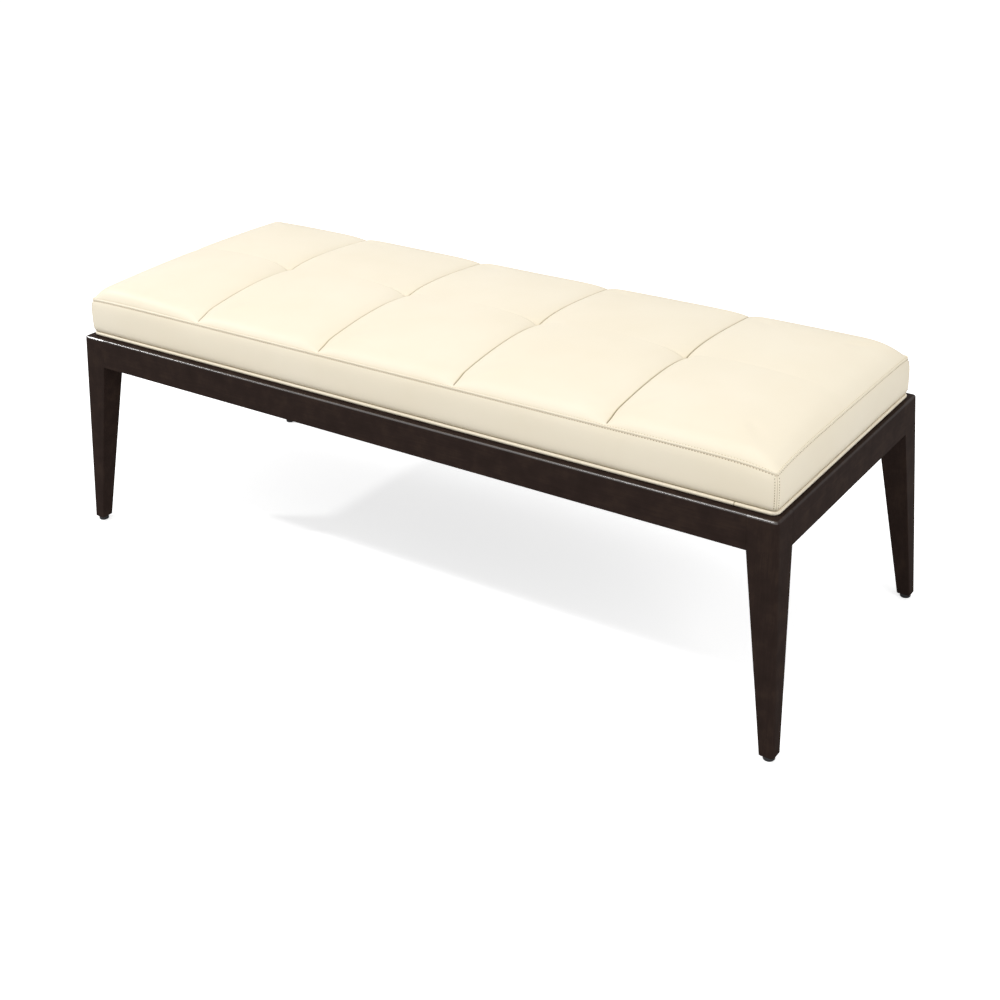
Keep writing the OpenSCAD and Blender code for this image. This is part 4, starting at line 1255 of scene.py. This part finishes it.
@dataclass
class WoodFrame:
    """Rails, legs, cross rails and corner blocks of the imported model, under their lacquer."""

    along_x: tuple[str, ...] = ("front_rail", "rear_rail", *(f"{corner}_corner_block" for corner in CORNERS))
    along_y: tuple[str, ...] = ("left_end_rail", "right_end_rail", "left_cross_rail", "right_cross_rail")
    along_z: tuple[str, ...] = tuple(f"{corner}_leg" for corner in CORNERS)
    flat_face: float = 0.985
    upward: float = 0.15

    def dress(self) -> None:
        """Gives each member the lacquer whose grain runs along it, rubbed on its eased upper edges."""
        for names, grain in zip((self.along_x, self.along_y, self.along_z), Grain):
            for name in names:
                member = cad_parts[name]
                LACQUER[grain].dress(member)
                member.data.materials.append(RUBBED[grain].material())
                member.data.materials.append(RUBBED[Grain.ALONG_Y].material())
                member.data.polygons.foreach_set("material_index", self.eased(member))
                member.data.update()
                LOG.info("%s: %s", name, LACQUER[grain].name)

    def eased(self, member: Thing) -> Array:
        """Numbers a member's faces: 1 on the eased upper edges of the long sides, 2 on the ends', else 0."""
        normals = read_vectors(member.data.polygons, "normal")
        eased = (np.abs(normals).max(axis=1) < self.flat_face) & (normals[:, 2] > self.upward)
        endwise = np.abs(normals[:, 0]) > np.abs(normals[:, 1])
        return (eased * (1 + endwise)).astype(np.int32)


@dataclass
class Fittings:
    """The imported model's small parts, with their finishes."""

    finishes: dict[str, Finish] = field(default_factory=lambda: {
        **{f"{corner}_glide": NYLON for corner in CORNERS}, "glide_nails": ZINC, "cross_rail_dowels": BEECH,
        "block_screws": ZINC, "hanger_bolts": ZINC, "hanger_bolt_washers": ZINC, "hanger_bolt_nuts": ZINC,
        "seat_deck": PLYWOOD, "deck_tee_nuts": ZINC, "deck_screws": ZINC, "deck_screw_washers": ZINC,
        "tuft_ties": TWINE, "tuft_anchors": ANCHOR})

    def dress(self) -> None:
        """Gives each small part its finish."""
        for name, finish in self.finishes.items():
            finish.dress(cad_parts[name])
            LOG.info("%s: %s", name, finish.name)


@dataclass
class Lamp:
    """A soft white area lamp: its place, what it points at, its size and its power."""

    name: str
    place: Point
    target: Point
    size: float
    power: float

    def light(self) -> Thing:
        """Makes the lamp and returns it."""
        data = bpy.data.lights.new(self.name, "AREA")
        data.shape = "DISK"
        data.size = self.size
        data.energy = self.power
        lamp = bpy.data.objects.new(self.name, data)
        lamp.location = self.place
        lamp.rotation_euler = (Vector(self.target) - Vector(self.place)).to_track_quat("-Z", "Y").to_euler()
        bpy.context.scene.collection.objects.link(lamp)
        return lamp


@dataclass
class Studio:
    """Camera, pale floor, white surroundings and soft lamps."""

    eye: Point = (1.3940, -1.8923, 1.3157)
    azimuth: float = 35.32
    elevation: float = 23.98
    roll: float = -1.65
    lens: float = 53.89
    sensor: float = 36.0
    clip: Pair = (0.05, 100.0)
    shift_y: float = -0.084
    floor_size: float = 60.0
    ambient: float = 0.40
    lamps: tuple[Lamp, ...] = (
        Lamp("overhead_softbox", (-0.2, -0.1, 3.9), (-0.2, 0.0, 0.4), 3.2, 35.5),
        Lamp("key_lamp", (-1.44, -2.23, 4.10), (0.2, 0.0, 0.4), 0.25, 44.5),
        Lamp("left_lamp", (-3.66, -1.73, 2.98), (-0.4, 0.0, 0.4), 0.25, 46.0),
        Lamp("right_lamp", (4.1, -1.5, 2.6), (0.5, 0.0, 0.4), 3.0, 70.0),
    )

    def camera(self) -> Thing:
        """Sets up the camera at the photograph's viewing angle and returns it."""
        data = bpy.data.cameras.new("photo_camera")
        data.lens = self.lens
        data.sensor_width = self.sensor
        data.shift_y = self.shift_y
        data.clip_start, data.clip_end = self.clip
        camera = bpy.data.objects.new("photo_camera", data)
        turns = ((self.azimuth, "Z"), (90 - self.elevation, "X"), (self.roll, "Z"))
        pan, tilt, roll = (Matrix.Rotation(math.radians(angle), 4, axis) for angle, axis in turns)
        camera.matrix_world = Matrix.Translation(self.eye) @ pan @ tilt @ roll
        bpy.context.scene.collection.objects.link(camera)
        bpy.context.scene.camera = camera
        return camera

    def floor(self) -> Thing:
        """Lays the floor, white to the camera but for the bench's shadow, and returns it."""
        floor = primitive(bpy.ops.mesh.primitive_plane_add, "studio_floor", size=self.floor_size)
        PAPER.dress(floor)
        return floor

    def world(self) -> None:
        """Makes the surroundings white to the camera and an even soft light to the bench."""
        world = bpy.data.worlds.new("white_studio")
        bpy.context.scene.world = world
        world.use_nodes = True
        tree = world.node_tree
        tree.nodes.clear()
        ray = add_node(tree, "LightPath").outputs
        soft, white = (add_node(tree, "Background", {"Color": (1, 1, 1, 1), "Strength": strength})
                       for strength in (self.ambient, 1.0))
        gloss = Graph(tree).calculate("MAXIMUM", ray["Is Camera Ray"], ray["Is Glossy Ray"])
        seen = Graph(tree).calculate("MAXIMUM", gloss, ray["Is Transmission Ray"])
        mix = add_node(tree, "MixShader", {}, {0: seen, 1: soft.outputs[0], 2: white.outputs[0]})
        add_node(tree, "OutputWorld", {}, {"Surface": mix.outputs[0]})

    def build(self) -> None:
        """Sets up the whole studio."""
        self.camera()
        self.floor()
        self.world()
        for lamp in self.lamps:
            lamp.light()
        bpy.context.scene.view_settings.view_transform = "Standard"


def main() -> None:
    """Builds the studio and dresses the bench, piece by piece."""
    logging.basicConfig(level=logging.INFO, format="%(message)s")
    Studio().build()
    WoodFrame().dress()
    Fittings().dress()
    CushionCore().build()
    QuiltedTop().build()
    BoxingBands().build()
    Stitching().build()
    BaseWelt().build()
    DustCover().build()


if __name__ == "__main__":
    main()
